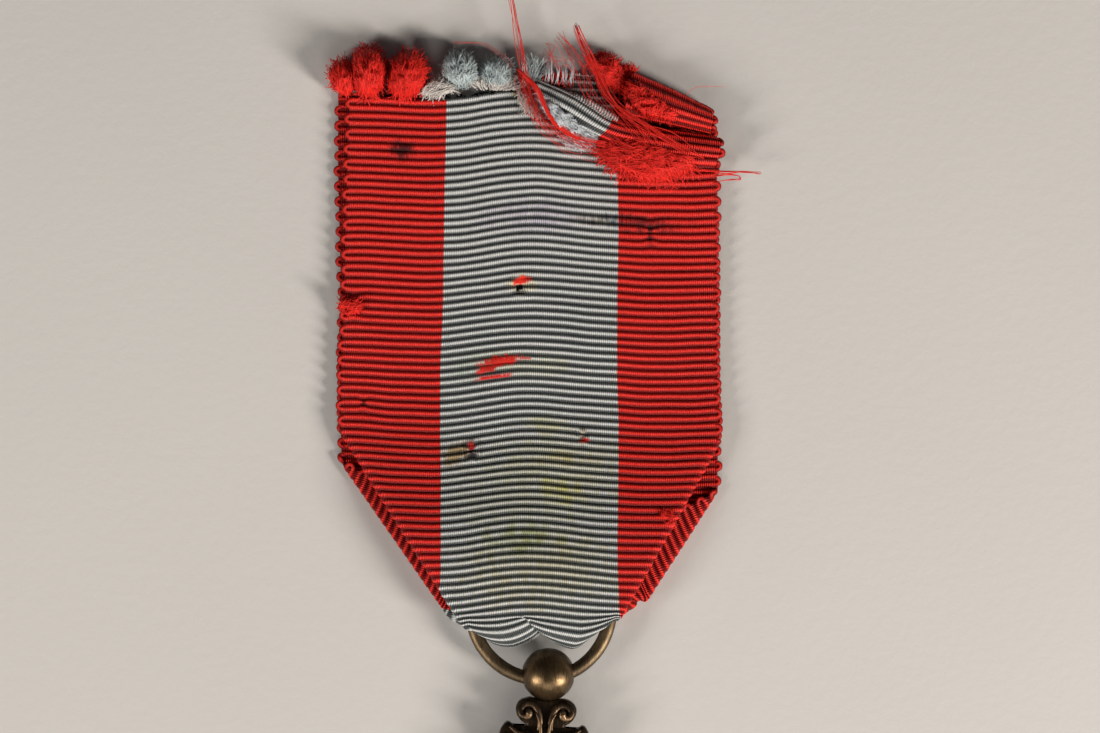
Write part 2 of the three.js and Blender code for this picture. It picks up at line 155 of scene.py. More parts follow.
def set_values(obj, name, values):
    """One number per point, which the material reads by name."""
    attribute = obj.data.attributes.new(name, "FLOAT", "POINT")
    attribute.data.foreach_set("value", np.asarray(values, np.float32))


def set_colours(obj, name, colours):
    attribute = obj.data.attributes.new(name, "FLOAT_COLOR", "POINT")
    attribute.data.foreach_set("color", np.asarray(colours, np.float32).ravel())


def slab(front, back, keep):
    """Quads for a closed cloth: two layers of a grid, and a wall round the edge of the kept cells."""
    rows, columns = keep.shape
    stride = columns + 1
    layer = (rows + 1) * stride
    index = np.arange(layer).reshape(rows + 1, stride)
    a, b = index[:-1, :-1], index[:-1, 1:]
    c, d = index[1:, 1:], index[1:, :-1]
    top = np.stack([a, d, c, b], -1)[keep]
    bottom = np.stack([a, b, c, d], -1)[keep] + layer
    padded = np.pad(keep, 1)
    inside = padded[1:-1, 1:-1]
    walls = []
    for down, right, first, second in ((-1, 0, b, a), (1, 0, d, c), (0, -1, a, d), (0, 1, c, b)):
        neighbour = padded[1 + down:rows + 1 + down, 1 + right:columns + 1 + right]
        edge = inside & ~neighbour
        p, q = first[edge], second[edge]
        walls.append(np.stack([q, p, p + layer, q + layer], -1))
    points = np.concatenate([front.reshape(-1, 3), back.reshape(-1, 3)])
    return points, np.concatenate([top, bottom, *walls])


def smoothstep(low, high, value):
    part = np.clip((value - low) / (high - low), 0, 1)
    return part * part * (3 - 2 * part)


def lattice(x, y, seed):
    """Random values from -1 to 1 on whole numbers."""
    value = np.sin(x * 127.1 + y * 311.7 + seed * 74.7) * 43758.5453
    return 2 * (value - np.floor(value)) - 1


def ripple(x, y, seed):
    """Smooth noise from -1 to 1, with features about 1 across."""
    x0, y0 = np.floor(x), np.floor(y)
    u, v = x - x0, y - y0
    u, v = u * u * (3 - 2 * u), v * v * (3 - 2 * v)
    low = lattice(x0, y0, seed) * (1 - u) + lattice(x0 + 1, y0, seed) * u
    high = lattice(x0, y0 + 1, seed) * (1 - u) + lattice(x0 + 1, y0 + 1, seed) * u
    return low * (1 - v) + high * v


def through(points, at):
    """A smooth curve through given points, at places counted from 0 along them."""
    points = np.asarray(points, float)
    padded = np.concatenate([[2 * points[0] - points[1]], points, [2 * points[-1] - points[-2]]])
    i = np.minimum(np.asarray(at).astype(int), len(points) - 2)
    f = (at - i).reshape(-1, *[1] * (points.ndim - 1))
    p0, p1, p2, p3 = padded[i], padded[i + 1], padded[i + 2], padded[i + 3]
    square = 2 * p0 - 5 * p1 + 4 * p2 - p3
    cube = 3 * p1 - p0 - 3 * p2 + p3
    return 0.5 * (2 * p1 + (p2 - p0) * f + square * f**2 + cube * f**3)


def blends(points, steps):
    return through(points, np.linspace(0, len(points) - 1, steps))


def unit(vectors):
    return vectors / np.maximum(np.linalg.norm(vectors, axis=-1, keepdims=True), 1e-12)


# ---- ribbon ----
WIDTH = 37.0
RIB = 0.745  # from one rib to the next
RIB_PHASES = np.array([0.0, 0.07, 0.25, 0.5, 0.75, 0.93])
RIB_COUNT = 153
CREST = 0.27  # half the cloth's thickness on a rib
GROOVE = 0.10  # and between two ribs
FRONT_TOP = 50.6
FRONT_RUN = 53.0  # length of the front layer, down to where it turns
TURN_RUN = 5.0
TURN_DEPTH = 1.6
BACK_HEIGHT = 0.29
HEM = 0.3  # radius of the folded sides
CLOTH_X = -1.12  # the middle of the cloth
BACK_REACH = FRONT_RUN + TURN_RUN + 4.0  # length at which the back layer lies flat again
TURN_NARROWING = 0.2  # the cloth is drawn in by this share where it passes inside the ring
RING_CLEAR = 1.1  # from the wire's centre line to the middle of the cloth
# The tucked sides are gathered into the ring between these lengths and beyond these widths.
GATHER_FROM = (51, 54.2)
GATHER_TO = (57.6, 61)
GATHER_ASIDE = (10, 14)
STRIPE = 8.7  # half the grey stripe
COLUMN = 0.2  # width of the cloth's cells

# The front layer's height off the board: (y, height).
FRONT_HEIGHTS = [(-60, 3.85), (4.5, 3.80), (8, 3.3), (12, 2.2), (17, 1.25), (21, 0.93), (80, 0.93)]
# Each fold's line from its upper end to its lower end, on the front and on the back layer.
FOLDS = {
    -1: {"front": ((-19.5, 17.8), (-6.5, -2.6)), "back": ((-20.0, 15.6), (-7.1, -2.9))},
    1: {"front": ((17.3, 16.7), (6.9, -1.5)), "back": ((17.6, 12.7), (8.1, -2.0))},
}


def heights(y):
    """The front layer's height off the board."""
    knots = np.array(FRONT_HEIGHTS)
    fine = np.linspace(-10, 60, 1400)
    steps = np.interp(fine, knots[:, 0], knots[:, 1])
    kernel = np.hanning(81)
    steps = np.convolve(np.pad(steps, 40, mode="edge"), kernel / kernel.sum(), mode="valid")
    return np.interp(y, fine, steps)


def bow(x, y):
    """How far a rib lies above its place, in waves that follow the warp."""
    hill = 0.62 * np.exp(-(((x + 1.2) / 5.2) ** 2))
    dip = 0.38 * np.exp(-(((x + 11.0) / 5.0) ** 2)) + 0.22 * np.exp(-(((x - 12.0) / 6.0) ** 2))
    drift = 0.10 * ripple(x / 7.0, y / 9.0, 3) + 0.05 * ripple(x / 2.5, y / 4.0, 4)
    return hill - dip + drift


CREASE_START = 51.7  # length along the cloth at which the crease in the fold begins
CREASE_X = -1.83
CREASE_RUN = 0.6  # how far the crease moves to the right for each millimetre of cloth
CREASE_DEPTH = 3.7
CREASE_RISE = 1.6


def crease(x, t):
    """The pinch in the middle of the fold, its right half over its left: (rise in Y, drop in Z)."""
    depth = np.clip(t - CREASE_START, 0, CREASE_DEPTH)
    fade = 1 - smoothstep(BACK_REACH - 4.5, BACK_REACH, t)
    away = x - (CREASE_X + CREASE_RUN * depth)
    reach = np.where(away < 0, 1.75, 1.7)
    high = np.where(away < 0, CREASE_RISE * 1.35, CREASE_RISE)
    rise = high * (depth / CREASE_DEPTH) ** 0.7 * np.exp(-np.abs(away) / reach) * fade
    drop = np.where(away < 0, 0.26 * depth * np.exp(away / 1.1), 0.0) * fade
    return rise, drop


def shoulder(x):
    """How much higher the fold lies towards its two ends."""
    left = 1.34 * np.clip((-x - 3.2) / 3.5, 0, 1.1) ** 1.9
    right = 2.66 * np.clip((x - 3.7) / 3.35, 0, 1.1) ** 1.5
    return left + right


def clear_of_ring(place, gathered):
    """The cloth moved off the ring's wire. Where it is gathered, it goes inside the ring."""
    lift = np.array([0, 0, RING_HEIGHT])
    local = turn_x(place - lift, -RING_TILT)
    out = np.maximum(np.hypot(local[..., 0], local[..., 1]), 0.01)
    held = out + (np.minimum(out, RING_RADIUS - RING_CLEAR) - out) * gathered
    away = np.hypot(held - RING_RADIUS, local[..., 2])
    push = np.maximum(RING_CLEAR / np.maximum(away, 0.01), 1.0)
    local[..., :2] *= ((RING_RADIUS + (held - RING_RADIUS) * push) / out)[..., None]
    local[..., 2] *= push
    return turn_x(local, RING_TILT) + lift


def ribbon_middle(s, t):
    """Where a point of the cloth lies: s across it and t along it, from the front's torn end."""
    turn = np.clip((t - FRONT_RUN) / TURN_RUN, 0, 1) * np.pi
    front = (1 + np.cos(turn)) / 2
    fold_y = FRONT_TOP - FRONT_RUN
    y = np.where(t < FRONT_RUN, FRONT_TOP - t, fold_y + (t - FRONT_RUN - TURN_RUN))
    y = np.where((turn > 0) & (turn < np.pi), fold_y - TURN_DEPTH * np.sin(turn), y)
    high = smoothstep(20, 52, y)
    centre = CLOTH_X + high * (0.32 * front - 0.38 * (1 - front))
    narrow = 1 - high * 0.022 * front
    x = s * narrow + centre + 0.10 * ripple(y / 6.0, np.tanh(s / 3.0) * 3.0, 8)
    y = y + bow(x, y) * np.where(t < FRONT_RUN + TURN_RUN / 2, 1.0, 0.6)
    rise, drop = crease(x, t)
    near_turn = smoothstep(FRONT_RUN - 3.0, FRONT_RUN + 2.5, t)
    near_turn = near_turn * (1 - smoothstep(FRONT_RUN + TURN_RUN, BACK_REACH, t))
    y = y + rise + near_turn * shoulder(x)
    z = front * 0.10 * ripple(x / 6.0, y / 7.0, 5) - drop * front
    inward = np.stack([np.zeros_like(turn), np.sin(turn), -np.cos(turn)], -1)
    place = np.stack([x, y, z], -1)
    for side, lines in FOLDS.items():
        ends = zip(lines["back"], lines["front"])
        top, foot = ([behind + (ahead - behind) * front for behind, ahead in zip(*pair)] for pair in ends)
        along_x, along_y = top[0] - foot[0], top[1] - foot[1]
        length = np.hypot(along_x, along_y)
        out_x, out_y = side * along_y / length, -side * along_x / length
        past = (x - foot[0]) * out_x + (y - foot[1]) * out_y
        bend = HEM * np.pi
        angle = np.clip(past / HEM, 0, np.pi)
        folded = np.where(past < bend, HEM * np.sin(angle), bend - past)
        shift = np.where(past > 0, folded - past, 0.0)
        place[..., 0] += shift * out_x
        place[..., 1] += shift * out_y
        place += (HEM * (1 - np.cos(angle)))[..., None] * inward
    place[..., 2] += BACK_HEIGHT + (heights(place[..., 1]) - BACK_HEIGHT) * front
    place[..., 0] *= 1 - TURN_NARROWING * np.sin(turn)
    in_ring = smoothstep(*GATHER_FROM, t) * (1 - smoothstep(*GATHER_TO, t))
    return clear_of_ring(place, in_ring * smoothstep(*GATHER_ASIDE, np.abs(s)))


def rib_profile(phase):
    """Thickness over one rib: a round cord with a narrow groove on each side."""
    return np.sqrt(np.clip(1 - (2 * (phase % 1.0) - 1) ** 2, 0, 1))


def surface_normals(grid):
    """Unit normals of a grid of points, on the side that faces up where the grid is the front layer."""
    by_row = np.gradient(grid, axis=0)
    by_column = np.gradient(grid, axis=1)
    return unit(np.cross(by_row, by_column))


# The torn ends, as lengths along the cloth at places across it.
FRONT_TEAR = ([-18.5, -1.9, -1.2, 0.1, 1.9, 3.1, 5.1, 6.9, 8.6, 9.2, 18.5],
              [0.0, 0.0, 0.9, 2.4, 3.3, 4.4, 4.8, 5.05, 6.6, 3.2, 4.9])
BACK_TEAR = ([-18.5, -1.6, -0.3, 9.5, 18.5], [111.0, 111.2, 113.2, 112.7, 108.6])

# Worn places on the front: (x, y, radius) from the ring's centre.
HOLES = [(-2.3, 31.7, 0.45), (-6.78, 15.5, 0.36), (4.0, 17.25, 0.2)]


def cloth_at(x, y):
    """The place across and along the cloth of a point seen on the front layer."""
    return x - CLOTH_X, FRONT_TOP - y + bow(x, y)


def ribbon_grid():
    columns = int(round(WIDTH / COLUMN))
    s = np.linspace(-WIDTH / 2, WIDTH / 2, columns + 1)
    t = ((np.arange(RIB_COUNT)[:, None] + RIB_PHASES[None, :]) * RIB).ravel()
    return np.meshgrid(s, t)


def ribbon_keep(s, t):
    """The cells of the grid that are cloth, not torn away."""
    s = (s[:-1, :-1] + s[1:, 1:]) / 2
    t = (t[:-1, :-1] + t[1:, 1:]) / 2
    ragged = 0.25 * ripple(s / 0.5, t / 3.0, 11) + 0.15 * ripple(s / 0.2, t, 12)
    keep = (t > np.interp(s, *FRONT_TEAR) + ragged) & (t < np.interp(s, *BACK_TEAR) + ragged)
    for x, y, radius in HOLES:
        hole_s, hole_t = cloth_at(x, y)
        away = np.hypot((s - hole_s), (t - hole_t) * 1.15)
        keep &= away > radius * (1 + 0.3 * ripple(s / 0.3, t / 0.3, 13))
    return keep


# Places where a pulled thread draws the ribs together: (x, y, radius).
PINCHES = [(10.8, 37.0, 0.7), (-18.6, 29.8, 0.7), (-6.8, 15.6, 0.5), (4.1, 16.9, 0.4), (-17.4, 20.3, 0.4)]
# Stains and wear on the front, and one band of painted shade: (x, y, half length, half height, slope, colour
# the silk is multiplied by).
STAINS_AND_SHADE = [
    (-13.6, 45.25, 1.25, 1.15, 0.0, (0.12, 0.16, 0.26)),
    # A dark bluish band of painted shade along the ribs drawn together by the pulled thread at (10.8, 37.0).
    (9.6, 38.0, 4.8, 0.95, -0.08, (0.26, 0.32, 0.42)),
    (5.4, 38.3, 2.4, 0.7, -0.05, (0.62, 0.55, 0.45)),
    (-1.0, 38.6, 6.0, 1.9, 0.0, (0.82, 0.76, 0.88)),
    (10.77, 36.9, 0.35, 1.1, 0.0, (0.3, 0.3, 0.4)),
    (-18.9, 29.8, 1.1, 0.75, 0.0, (0.42, 0.3, 0.3)),
    (-17.4, 20.3, 0.28, 0.6, 0.0, (0.3, 0.3, 0.3)),
    (-2.0, 31.95, 1.45, 1.0, 0.0, (1.2, 1.08, 0.76)),
    (-6.2, 24.0, 2.9, 1.9, 0.15, (0.78, 0.85, 0.76)),
    (-8.3, 15.2, 1.5, 1.25, 0.3, (0.74, 0.52, 0.28)),
    (-6.8, 15.7, 0.95, 1.25, 0.0, (0.5, 0.42, 0.42)),
    (4.1, 16.9, 0.6, 0.9, 0.0, (0.55, 0.5, 0.45)),
    (2.3, 11.6, 2.6, 1.5, -0.2, (1.04, 1.0, 0.52)),
    (2.6, 14.8, 3.2, 0.8, 0.05, (0.95, 0.84, 0.56)),
    (2.4, 14.0, 6.4, 4.4, 0.0, (1.0, 0.97, 0.80)),
    (0.6, 18.2, 2.5, 0.9, -0.1, (1.0, 0.98, 0.7)),
    (-1.5, 24.2, 5.5, 1.3, -0.1, (1.0, 0.98, 0.78)),
    (-2.0, 6.8, 4.0, 1.7, 0.1, (0.72, 0.79, 0.60)),
    (0.0, 4.0, 8.5, 4.4, 0.0, (0.86, 0.80, 0.58)),
    (-1.0, 11.0, 8.0, 5.5, 0.0, (0.93, 0.92, 0.76)),
    (-2.2, 51.0, 0.8, 0.8, 0.0, (0.75, 0.62, 0.3)),
]
# Places where the grey warp is worn through to red: (x, y, half length, half height, slope).
WORN_RED = [
    (-3.9, 24.45, 1.75, 0.50, 0.20),
    (-5.3, 23.65, 1.15, 0.38, 0.30),
    (-4.6, 22.85, 1.9, 0.16, 0.14),
    (-1.6, 24.7, 0.9, 0.10, 0.1),
    (-6.85, 16.0, 0.42, 0.34, 0.0),
    (4.25, 16.55, 0.40, 0.26, 0.2),
    (-1.85, 32.35, 0.95, 0.36, 0.16),
]


def near(x, y, spot, grain, core):
    """1 inside a ragged spot and 0 outside it. It fades out from core, as a share of its size."""
    dx, dy = x - spot[0], y - spot[1]
    away = np.hypot(dx / spot[2], (dy - spot[4] * dx) / spot[3])
    away = away + grain * ripple(x / 0.16, y / 0.5, 31) + 0.7 * grain * ripple(x / 0.7, y / 0.4, 32)
    return 1 - smoothstep(core, 1.2, away)


def set_place(obj, s, t, used):
    """Each point's place across and along the cloth, on both faces of a slab."""
    set_values(obj, "across", np.tile(s.ravel(), 2)[used])
    set_values(obj, "along", np.tile(t.ravel(), 2)[used])


def make_ribbon(material):
    s, t = ribbon_grid()
    middle = ribbon_middle(s, t)
    for x, y, radius in HOLES:
        hole_s, hole_t = cloth_at(x, y)
        away = np.hypot(s - hole_s, t - hole_t) / radius
        middle[..., 2] -= 0.22 * np.exp(-((away / 1.7) ** 2)) - 0.12 * np.exp(-(((away - 2.2) / 0.8) ** 2))
    for x, y, radius in PINCHES:
        pinch_s, pinch_t = cloth_at(x, y)
        pull = 0.4 * np.exp(-(((s - pinch_s) / radius) ** 2 + ((t - pinch_t) / (1.6 * radius)) ** 2))
        middle[..., 1] += pull * (t - pinch_t)
        middle[..., 2] -= 0.25 * pull
    normals = surface_normals(middle)
    slack = 1 + 0.10 * ripple(s / 3.0, t / 1.5, 6)
    half = (GROOVE + (CREST - GROOVE) * rib_profile(t / RIB) * slack)[..., None]
    thin = 1 - 0.35 * smoothstep(WIDTH / 2 - 0.5, WIDTH / 2, np.abs(s))[..., None]
    points, quads = slab(middle + normals * half * thin, middle - normals * half * thin, ribbon_keep(s, t))
    obj, used = add_quads("ribbon", to_row(points), quads, material)
    set_place(obj, s, t, used)
    x, y = middle[..., 0], middle[..., 1]
    tint = np.ones((*x.shape, 4))
    bare = np.zeros(x.shape)
    on_front = t < FRONT_RUN
    streaks = np.clip(0.72 + 0.6 * ripple(s / 0.13, t / 1.3, 33) + 0.3 * ripple(s / 0.8, t / 0.5, 34), 0, 1)
    for spot in STAINS_AND_SHADE:
        strength = streaks if spot[2] > 1.6 else 1.0
        share = (near(x, y, spot, 0.30, 0.45) * on_front * strength)[..., None]
        tint[..., :3] *= 1 + share * (np.array(spot[5]) - 1)
    for spot in WORN_RED:
        bare = np.maximum(bare, near(x, y, spot, 0.34, 0.75) * on_front)
    set_colours(obj, "tint", np.tile(tint.reshape(-1, 4), (2, 1))[used])
    set_values(obj, "bare", np.tile(bare.ravel(), 2)[used])
    return obj


# ---- yarn and threads ----
def tubes(paths, radii, sides):
    """Points and quads of closed tubes along paths of shape (count, steps, 3)."""
    count, steps, _ = paths.shape
    along = unit(np.gradient(paths, axis=1))
    aside = unit(np.cross(along, unit(np.array([0.31, 0.52, 0.79]))))
    over = np.cross(along, aside)
    turn = 2 * np.pi * np.arange(sides) / sides
    ring = np.cos(turn)[:, None] * aside[:, :, None] + np.sin(turn)[:, None] * over[:, :, None]
    radii = np.broadcast_to(radii, (count, steps))[..., None, None]
    points = (paths[:, :, None] + ring * radii).reshape(-1, 3)
    index = np.arange(count * steps * sides).reshape(count, steps, sides)
    following = np.roll(index, -1, axis=2)
    walls = np.stack([index[:, :-1], following[:, :-1], following[:, 1:], index[:, 1:]], -1).reshape(-1, 4)
    caps = []
    for i in range(1, sides - 1, 2):
        corners = [0, i, i + 1, i + 2]
        caps += [index[:, 0, corners[::-1]], index[:, -1, corners]]
    return points, np.concatenate([walls, *caps])


def make_strands(name, paths, radius, material, sides=4):
    """Thin strands that taper to their tips, each with its own shade."""
    random = np.random.default_rng(len(paths))
    part = np.linspace(0, 1, paths.shape[1])[None]
    radii = radius * random.uniform(0.7, 1.3, (len(paths), 1)) * (1 - 0.55 * part**3)
    points, quads = tubes(paths, radii, sides)
    obj, used = add_quads(name, to_row(points), quads, material)
    shade = random.random(len(paths))
    set_values(obj, "shade", np.repeat(shade, paths.shape[1] * sides)[used])
    return obj


LOOP_THREAD = 0.25  # radius of the weft where it turns back
LOOP_SIDES = 10
LOOP_STEPS = 11
LOOP_REACH = 0.20  # past the cloth's edge
LOOP_START = 0.35  # inside the cloth's edge
LOOP_BULGE = 0.55  # below 1 for a blunt loop
PATCH_LOOP = 0.34  # reach of the loops round a torn piece


def add_loops(name, paths, material):
    """Turns of weft round an edge, in silk, with painted sheen on their tops and painted shade under them.
    """
    points, quads = tubes(paths, LOOP_THREAD, LOOP_SIDES)
    obj, used = add_quads(name, to_row(points), quads, material)
    # How far each point faces up, stored as its place along the cloth, so that the silk's painted sheen
    # falls on the top of each loop and painted shade on its underside.
    facing = (points[:, 2] - np.repeat(paths[..., 2].ravel(), LOOP_SIDES)) / LOOP_THREAD
    set_values(obj, "across", np.full(len(used), WIDTH / 2))
    set_values(obj, "along", (np.arcsin(np.clip(facing * 0.93, 0, 1)) / np.pi * RIB)[used])
    set_colours(obj, "tint", np.ones((len(used), 4)))
    return obj


def make_selvedge(side, material):
    """The weft turns back at each edge and joins two ribs in a loop."""
    first = 0 if side < 0 else 1
    starts = np.arange(first, RIB_COUNT - 2, 2)
    part = np.linspace(0, 1, LOOP_STEPS)
    out = WIDTH / 2 - LOOP_START + (LOOP_START + LOOP_REACH) * np.sin(np.pi * part) ** LOOP_BULGE
    s = np.broadcast_to(side * out, (len(starts), len(part)))
    t = (starts[:, None] + 0.5 + smoothstep(-0.1, 1.1, part)[None]) * RIB
    edge_t = t[:, LOOP_STEPS // 2]
    torn_front, torn_back = (np.interp(side * WIDTH / 2, *tear) for tear in (FRONT_TEAR, BACK_TEAR))
    keep = (edge_t > torn_front) & (edge_t < torn_back)
    s = s * (1 + 0.005 * lattice(starts, starts * 0 + side, 21)[:, None])
    name = "selvedge_left" if side < 0 else "selvedge_right"
    return add_loops(name, ribbon_middle(s[keep], t[keep]), material)


# ---- turned-over and torn pieces of the cloth ----
# Rails run along the ribs from left to right, and follow each other across the ribs.
FLAP_BACK = [
    [(8.9, 52.6, 0.7), (12.6, 51.1, 0.7), (16.2, 49.4, 0.7)],
    [(8.9, 52.6, 1.7), (12.8, 50.9, 1.8), (16.6, 49.0, 1.6)],
    [(8.7, 51.2, 2.7), (12.8, 49.7, 2.8), (16.9, 48.2, 2.4)],
    [(8.5, 49.9, 2.8), (12.6, 48.7, 2.8), (16.8, 47.6, 2.4)],
    [(8.5, 48.9, 2.1), (12.5, 48.0, 2.1), (16.7, 47.0, 1.6)],
    [(8.9, 48.6, 1.2), (12.5, 47.8, 1.2), (16.4, 46.9, 0.9)],
]
# The front's torn end, turned over: its grey part lies loose and its red part is flattened over the corner.
FLAP_FRONT = [
    [(0.2, 51.9, 1.4), (3.6, 50.3, 2.1), (7.2, 48.0, 2.4), (10.4, 47.3, 2.2), (13.9, 46.9, 1.9),
     (17.2, 46.4, 1.5)],
    [(-0.5, 51.6, 1.9), (3.1, 49.9, 2.8), (6.8, 47.6, 3.1), (10.3, 46.8, 2.9), (13.9, 46.3, 2.6),
     (17.5, 45.8, 2.2)],
    [(-0.4, 50.9, 2.0), (2.6, 49.1, 3.0), (6.3, 47.0, 3.2), (10.1, 45.9, 3.2), (13.9, 45.4, 3.0),
     (17.6, 45.0, 2.6)],
    [(0.2, 50.1, 1.6), (2.7, 48.3, 2.2), (5.7, 46.5, 2.7), (9.8, 45.0, 3.0), (13.8, 44.6, 2.9),
     (17.4, 44.3, 2.5)],
]
FLAP_LOW = [
    [(6.6, 46.4, 2.3), (10.2, 45.0, 2.9), (14.0, 44.5, 2.8), (17.3, 44.3, 2.4)],
    [(6.2, 45.7, 2.3), (10.4, 44.2, 2.6), (14.0, 43.8, 2.5), (17.1, 43.6, 2.0)],
    [(6.1, 44.9, 1.6), (10.6, 43.4, 1.7), (14.0, 43.2, 1.6), (16.8, 43.1, 1.3)],
]
STRIP_STRAND = [
    [(1.9, 51.3, 1.0), (4.7, 50.2, 1.8), (7.6, 48.4, 2.2)],
    [(1.8, 50.9, 1.6), (4.6, 49.9, 2.4), (7.5, 48.0, 2.7)],
    [(2.0, 50.5, 1.1), (4.6, 49.4, 1.9), (7.3, 47.7, 2.4)],
]


PATCH_COLUMNS = 90
PATCH_RAGGED = 0.35  # how unevenly the ribs begin at the torn end


def make_patch(name, rails, ribs, across, material):
    """A ribbed piece of cloth lofted over rails, and its ribs' ends. across places it on the stripes."""
    curves = np.stack([blends(rail, PATCH_COLUMNS) for rail in rails])
    phases = np.append((np.arange(ribs)[:, None] + RIB_PHASES[None]).ravel(), ribs)
    middle = through(curves, phases / ribs * (len(rails) - 1))
    rows, columns = middle.shape[:2]
    grain = ripple(np.arange(columns)[None] / 3.0, phases[:, None], 41)
    uneven = PATCH_RAGGED * lattice(np.floor(phases)[:, None], np.zeros((1, 1)), 42)
    middle[..., 0] += uneven * np.linspace(1, 0, columns)
    half = ((GROOVE + (CREST - GROOVE) * rib_profile(phases))[:, None] * (1 + 0.12 * grain))[..., None]
    normals = surface_normals(middle)
    keep = np.ones((rows - 1, columns - 1), bool)
    points, quads = slab(middle + normals * half, middle - normals * half, keep)
    obj, used = add_quads(name, to_row(points), quads, material)
    s = np.broadcast_to(np.linspace(*across, columns), middle.shape[:2])
    t = np.broadcast_to(phases[:, None] * RIB, middle.shape[:2])
    set_place(obj, s, t, used)
    set_colours(obj, "tint", np.ones((len(used), 4)))
    return obj, middle[len(RIB_PHASES) // 2::len(RIB_PHASES), -2:]


def loops_round(ends):
    """Loops that join the ends of the ribs in pairs. ends holds the last two points of each rib."""
    part = np.linspace(0, 1, LOOP_STEPS)[None, :, None]
    out = unit(ends[:, 1] - ends[:, 0])
    first, second = ends[:-1:2, 1][:, None], ends[1::2, 1][:, None]
    reach = (out[:-1:2] * PATCH_LOOP)[:, None]
    across = smoothstep(-0.1, 1.1, part)
    return first * (1 - across) + second * across + reach * np.sin(np.pi * part) ** LOOP_BULGE


MAT_STEPS = 9
MAT_FLOOR = 0.1  # the lowest that a matted strand lies
MOUND_STEPS = 14
MOUND_SIDES = 96
TUFT_STEPS = 10
TUFT_CLUMPS = 13
WISP_STEPS = 26
YARN_FLOOR = 0.06  # the lowest that a loose strand lies


def mound_share(outline, x, y):
    """0 in the middle of an outline and 1 on it."""
    points = np.array(outline)
    centre = points.mean(axis=0)
    spokes = points - centre
    angles = np.arctan2(spokes[:, 1], spokes[:, 0])
    order = np.argsort(angles)
    reach = np.hypot(spokes[:, 0], spokes[:, 1])[order]
    limit = np.interp(np.arctan2(y - centre[1], x - centre[0]), angles[order], reach, period=2 * np.pi)
    return np.hypot(x - centre[0], y - centre[1]) / limit


def dome(x, y, share, low, high):
    """The height of a lumpy mound at a place, where share is 0 in its middle and 1 at its edge."""
    swell = np.sqrt(np.clip(1 - share**2, 0, 1))
    return low + (high - low) * swell + 0.26 * swell * ripple(x / 0.55, y / 0.42, 51)


def matted_paths(outline, count, angle, length, low, high, seed, stray):
    """Short strands over each other on a low mound. angle is their heading, or the point they fan from."""
    random = np.random.default_rng(seed)
    points = np.array(outline)
    centre = points.mean(axis=0)
    at = random.uniform(0, len(points), count)
    i = at.astype(int)
    rim = points[i] + (points[(i + 1) % len(points)] - points[i]) * (at - i)[:, None]
    start = centre + (rim - centre) * np.sqrt(random.uniform(0, 0.72, count))[:, None]
    if isinstance(angle, tuple):
        heading = np.arctan2(start[:, 1] - angle[1], start[:, 0] - angle[0]) + random.normal(0, stray, count)
    else:
        heading = np.radians(angle) + random.normal(0, stray, count)
    bend = random.normal(0, 0.9, count)
    part = np.linspace(-0.5, 0.5, MAT_STEPS)[None]
    long = (length * random.uniform(0.5, 1.2, count))[:, None]
    turned = heading[:, None] + bend[:, None] * part
    x = start[:, :1] + long * part * np.cos(turned)
    y = start[:, 1:] + long * part * np.sin(turned)
    loose = random.exponential(0.11, count)[:, None] * np.clip(part + 0.1, 0, 1) * 1.6
    level = random.uniform(-0.25, 0.15, count)[:, None] + 0.22 * np.cos(part * np.pi) - 0.1 + loose
    z = dome(x, y, mound_share(outline, x, y), low, high) + level
    return np.stack([x, y, np.maximum(z, MAT_FLOOR)], -1)


def make_mound(name, outline, low, high, material):
    """The dense body of a matted lump, under its loose strands."""
    points = np.array(outline)
    centre = points.mean(axis=0)
    rim = blends(np.concatenate([points, points[:1]]), MOUND_SIDES + 1)[:-1]
    shares = np.sin(np.linspace(0.03, 1, MOUND_STEPS) * np.pi / 2)
    plan = centre + (rim - centre)[None] * shares[:, None, None]
    top = dome(plan[..., 0], plan[..., 1], shares[:, None], low, high) - 0.15
    top = np.concatenate([plan, top[..., None]], -1)
    under = np.concatenate([plan, np.full((*plan.shape[:2], 1), low - 0.3)], -1)[::-1]
    grid = np.concatenate([top, under])
    obj = add_mesh(name, to_row(grid.reshape(-1, 3)), skin(grid), material)
    set_values(obj, "shade", 0.35 + 0.3 * ripple(grid[..., 0] / 0.2, grid[..., 1] / 0.2, 52).ravel())
    return obj


def tuft_paths(centre, base, half_width, reach, rise, count, seed, lean, start_z):
    """Clumps of strands that leave the cloth's end, fan out, and curl up and over."""
    random = np.random.default_rng(seed)
    clump = random.integers(0, TUFT_CLUMPS, count)

    def per_clump(low, high, jitter):
        return (random.uniform(low, high, TUFT_CLUMPS)[clump] * random.normal(1, jitter, count))[:, None]

    fan = random.uniform(-1, 1, TUFT_CLUMPS)[clump]
    u = np.clip(fan + random.normal(0, 0.16, count), -1.1, 1.1)[:, None]
    curl = per_clump(0.7, 2.5, 0.12)
    long = reach * (1 - 0.30 * u**2) * per_clump(0.72, 1.0, 0.07)
    twist = random.normal(0, 0.30, TUFT_CLUMPS)[clump][:, None] + lean
    part = np.linspace(0, 1, TUFT_STEPS)[None]
    radius = long / np.where(curl < np.pi / 2, np.sin(curl), 1.0)
    forward = radius * np.sin(curl * part)
    lift = per_clump(0.45, 1.0, 0.15)
    up = rise * lift * (radius / reach) * (1 - np.cos(curl * part)) * 0.62
    spread = half_width * (0.72 * u + 0.5 * u * np.sin(np.pi * np.minimum(part * 1.1, 1) * 0.72))
    wobble = 0.13 * np.sin(part * 7 + 6.3 * random.random(count)[:, None]) * part
    x = centre + spread + wobble + twist * forward * (0.4 + 0.6 * part)
    y = base - random.uniform(0, 0.7, count)[:, None] + forward
    y += 0.10 * np.cos(part * 9 + 6.3 * random.random(count)[:, None]) * part
    z = start_z * random.uniform(0.75, 1.25, count)[:, None] + up
    return np.stack([x, y, np.maximum(z, YARN_FLOOR)], -1)


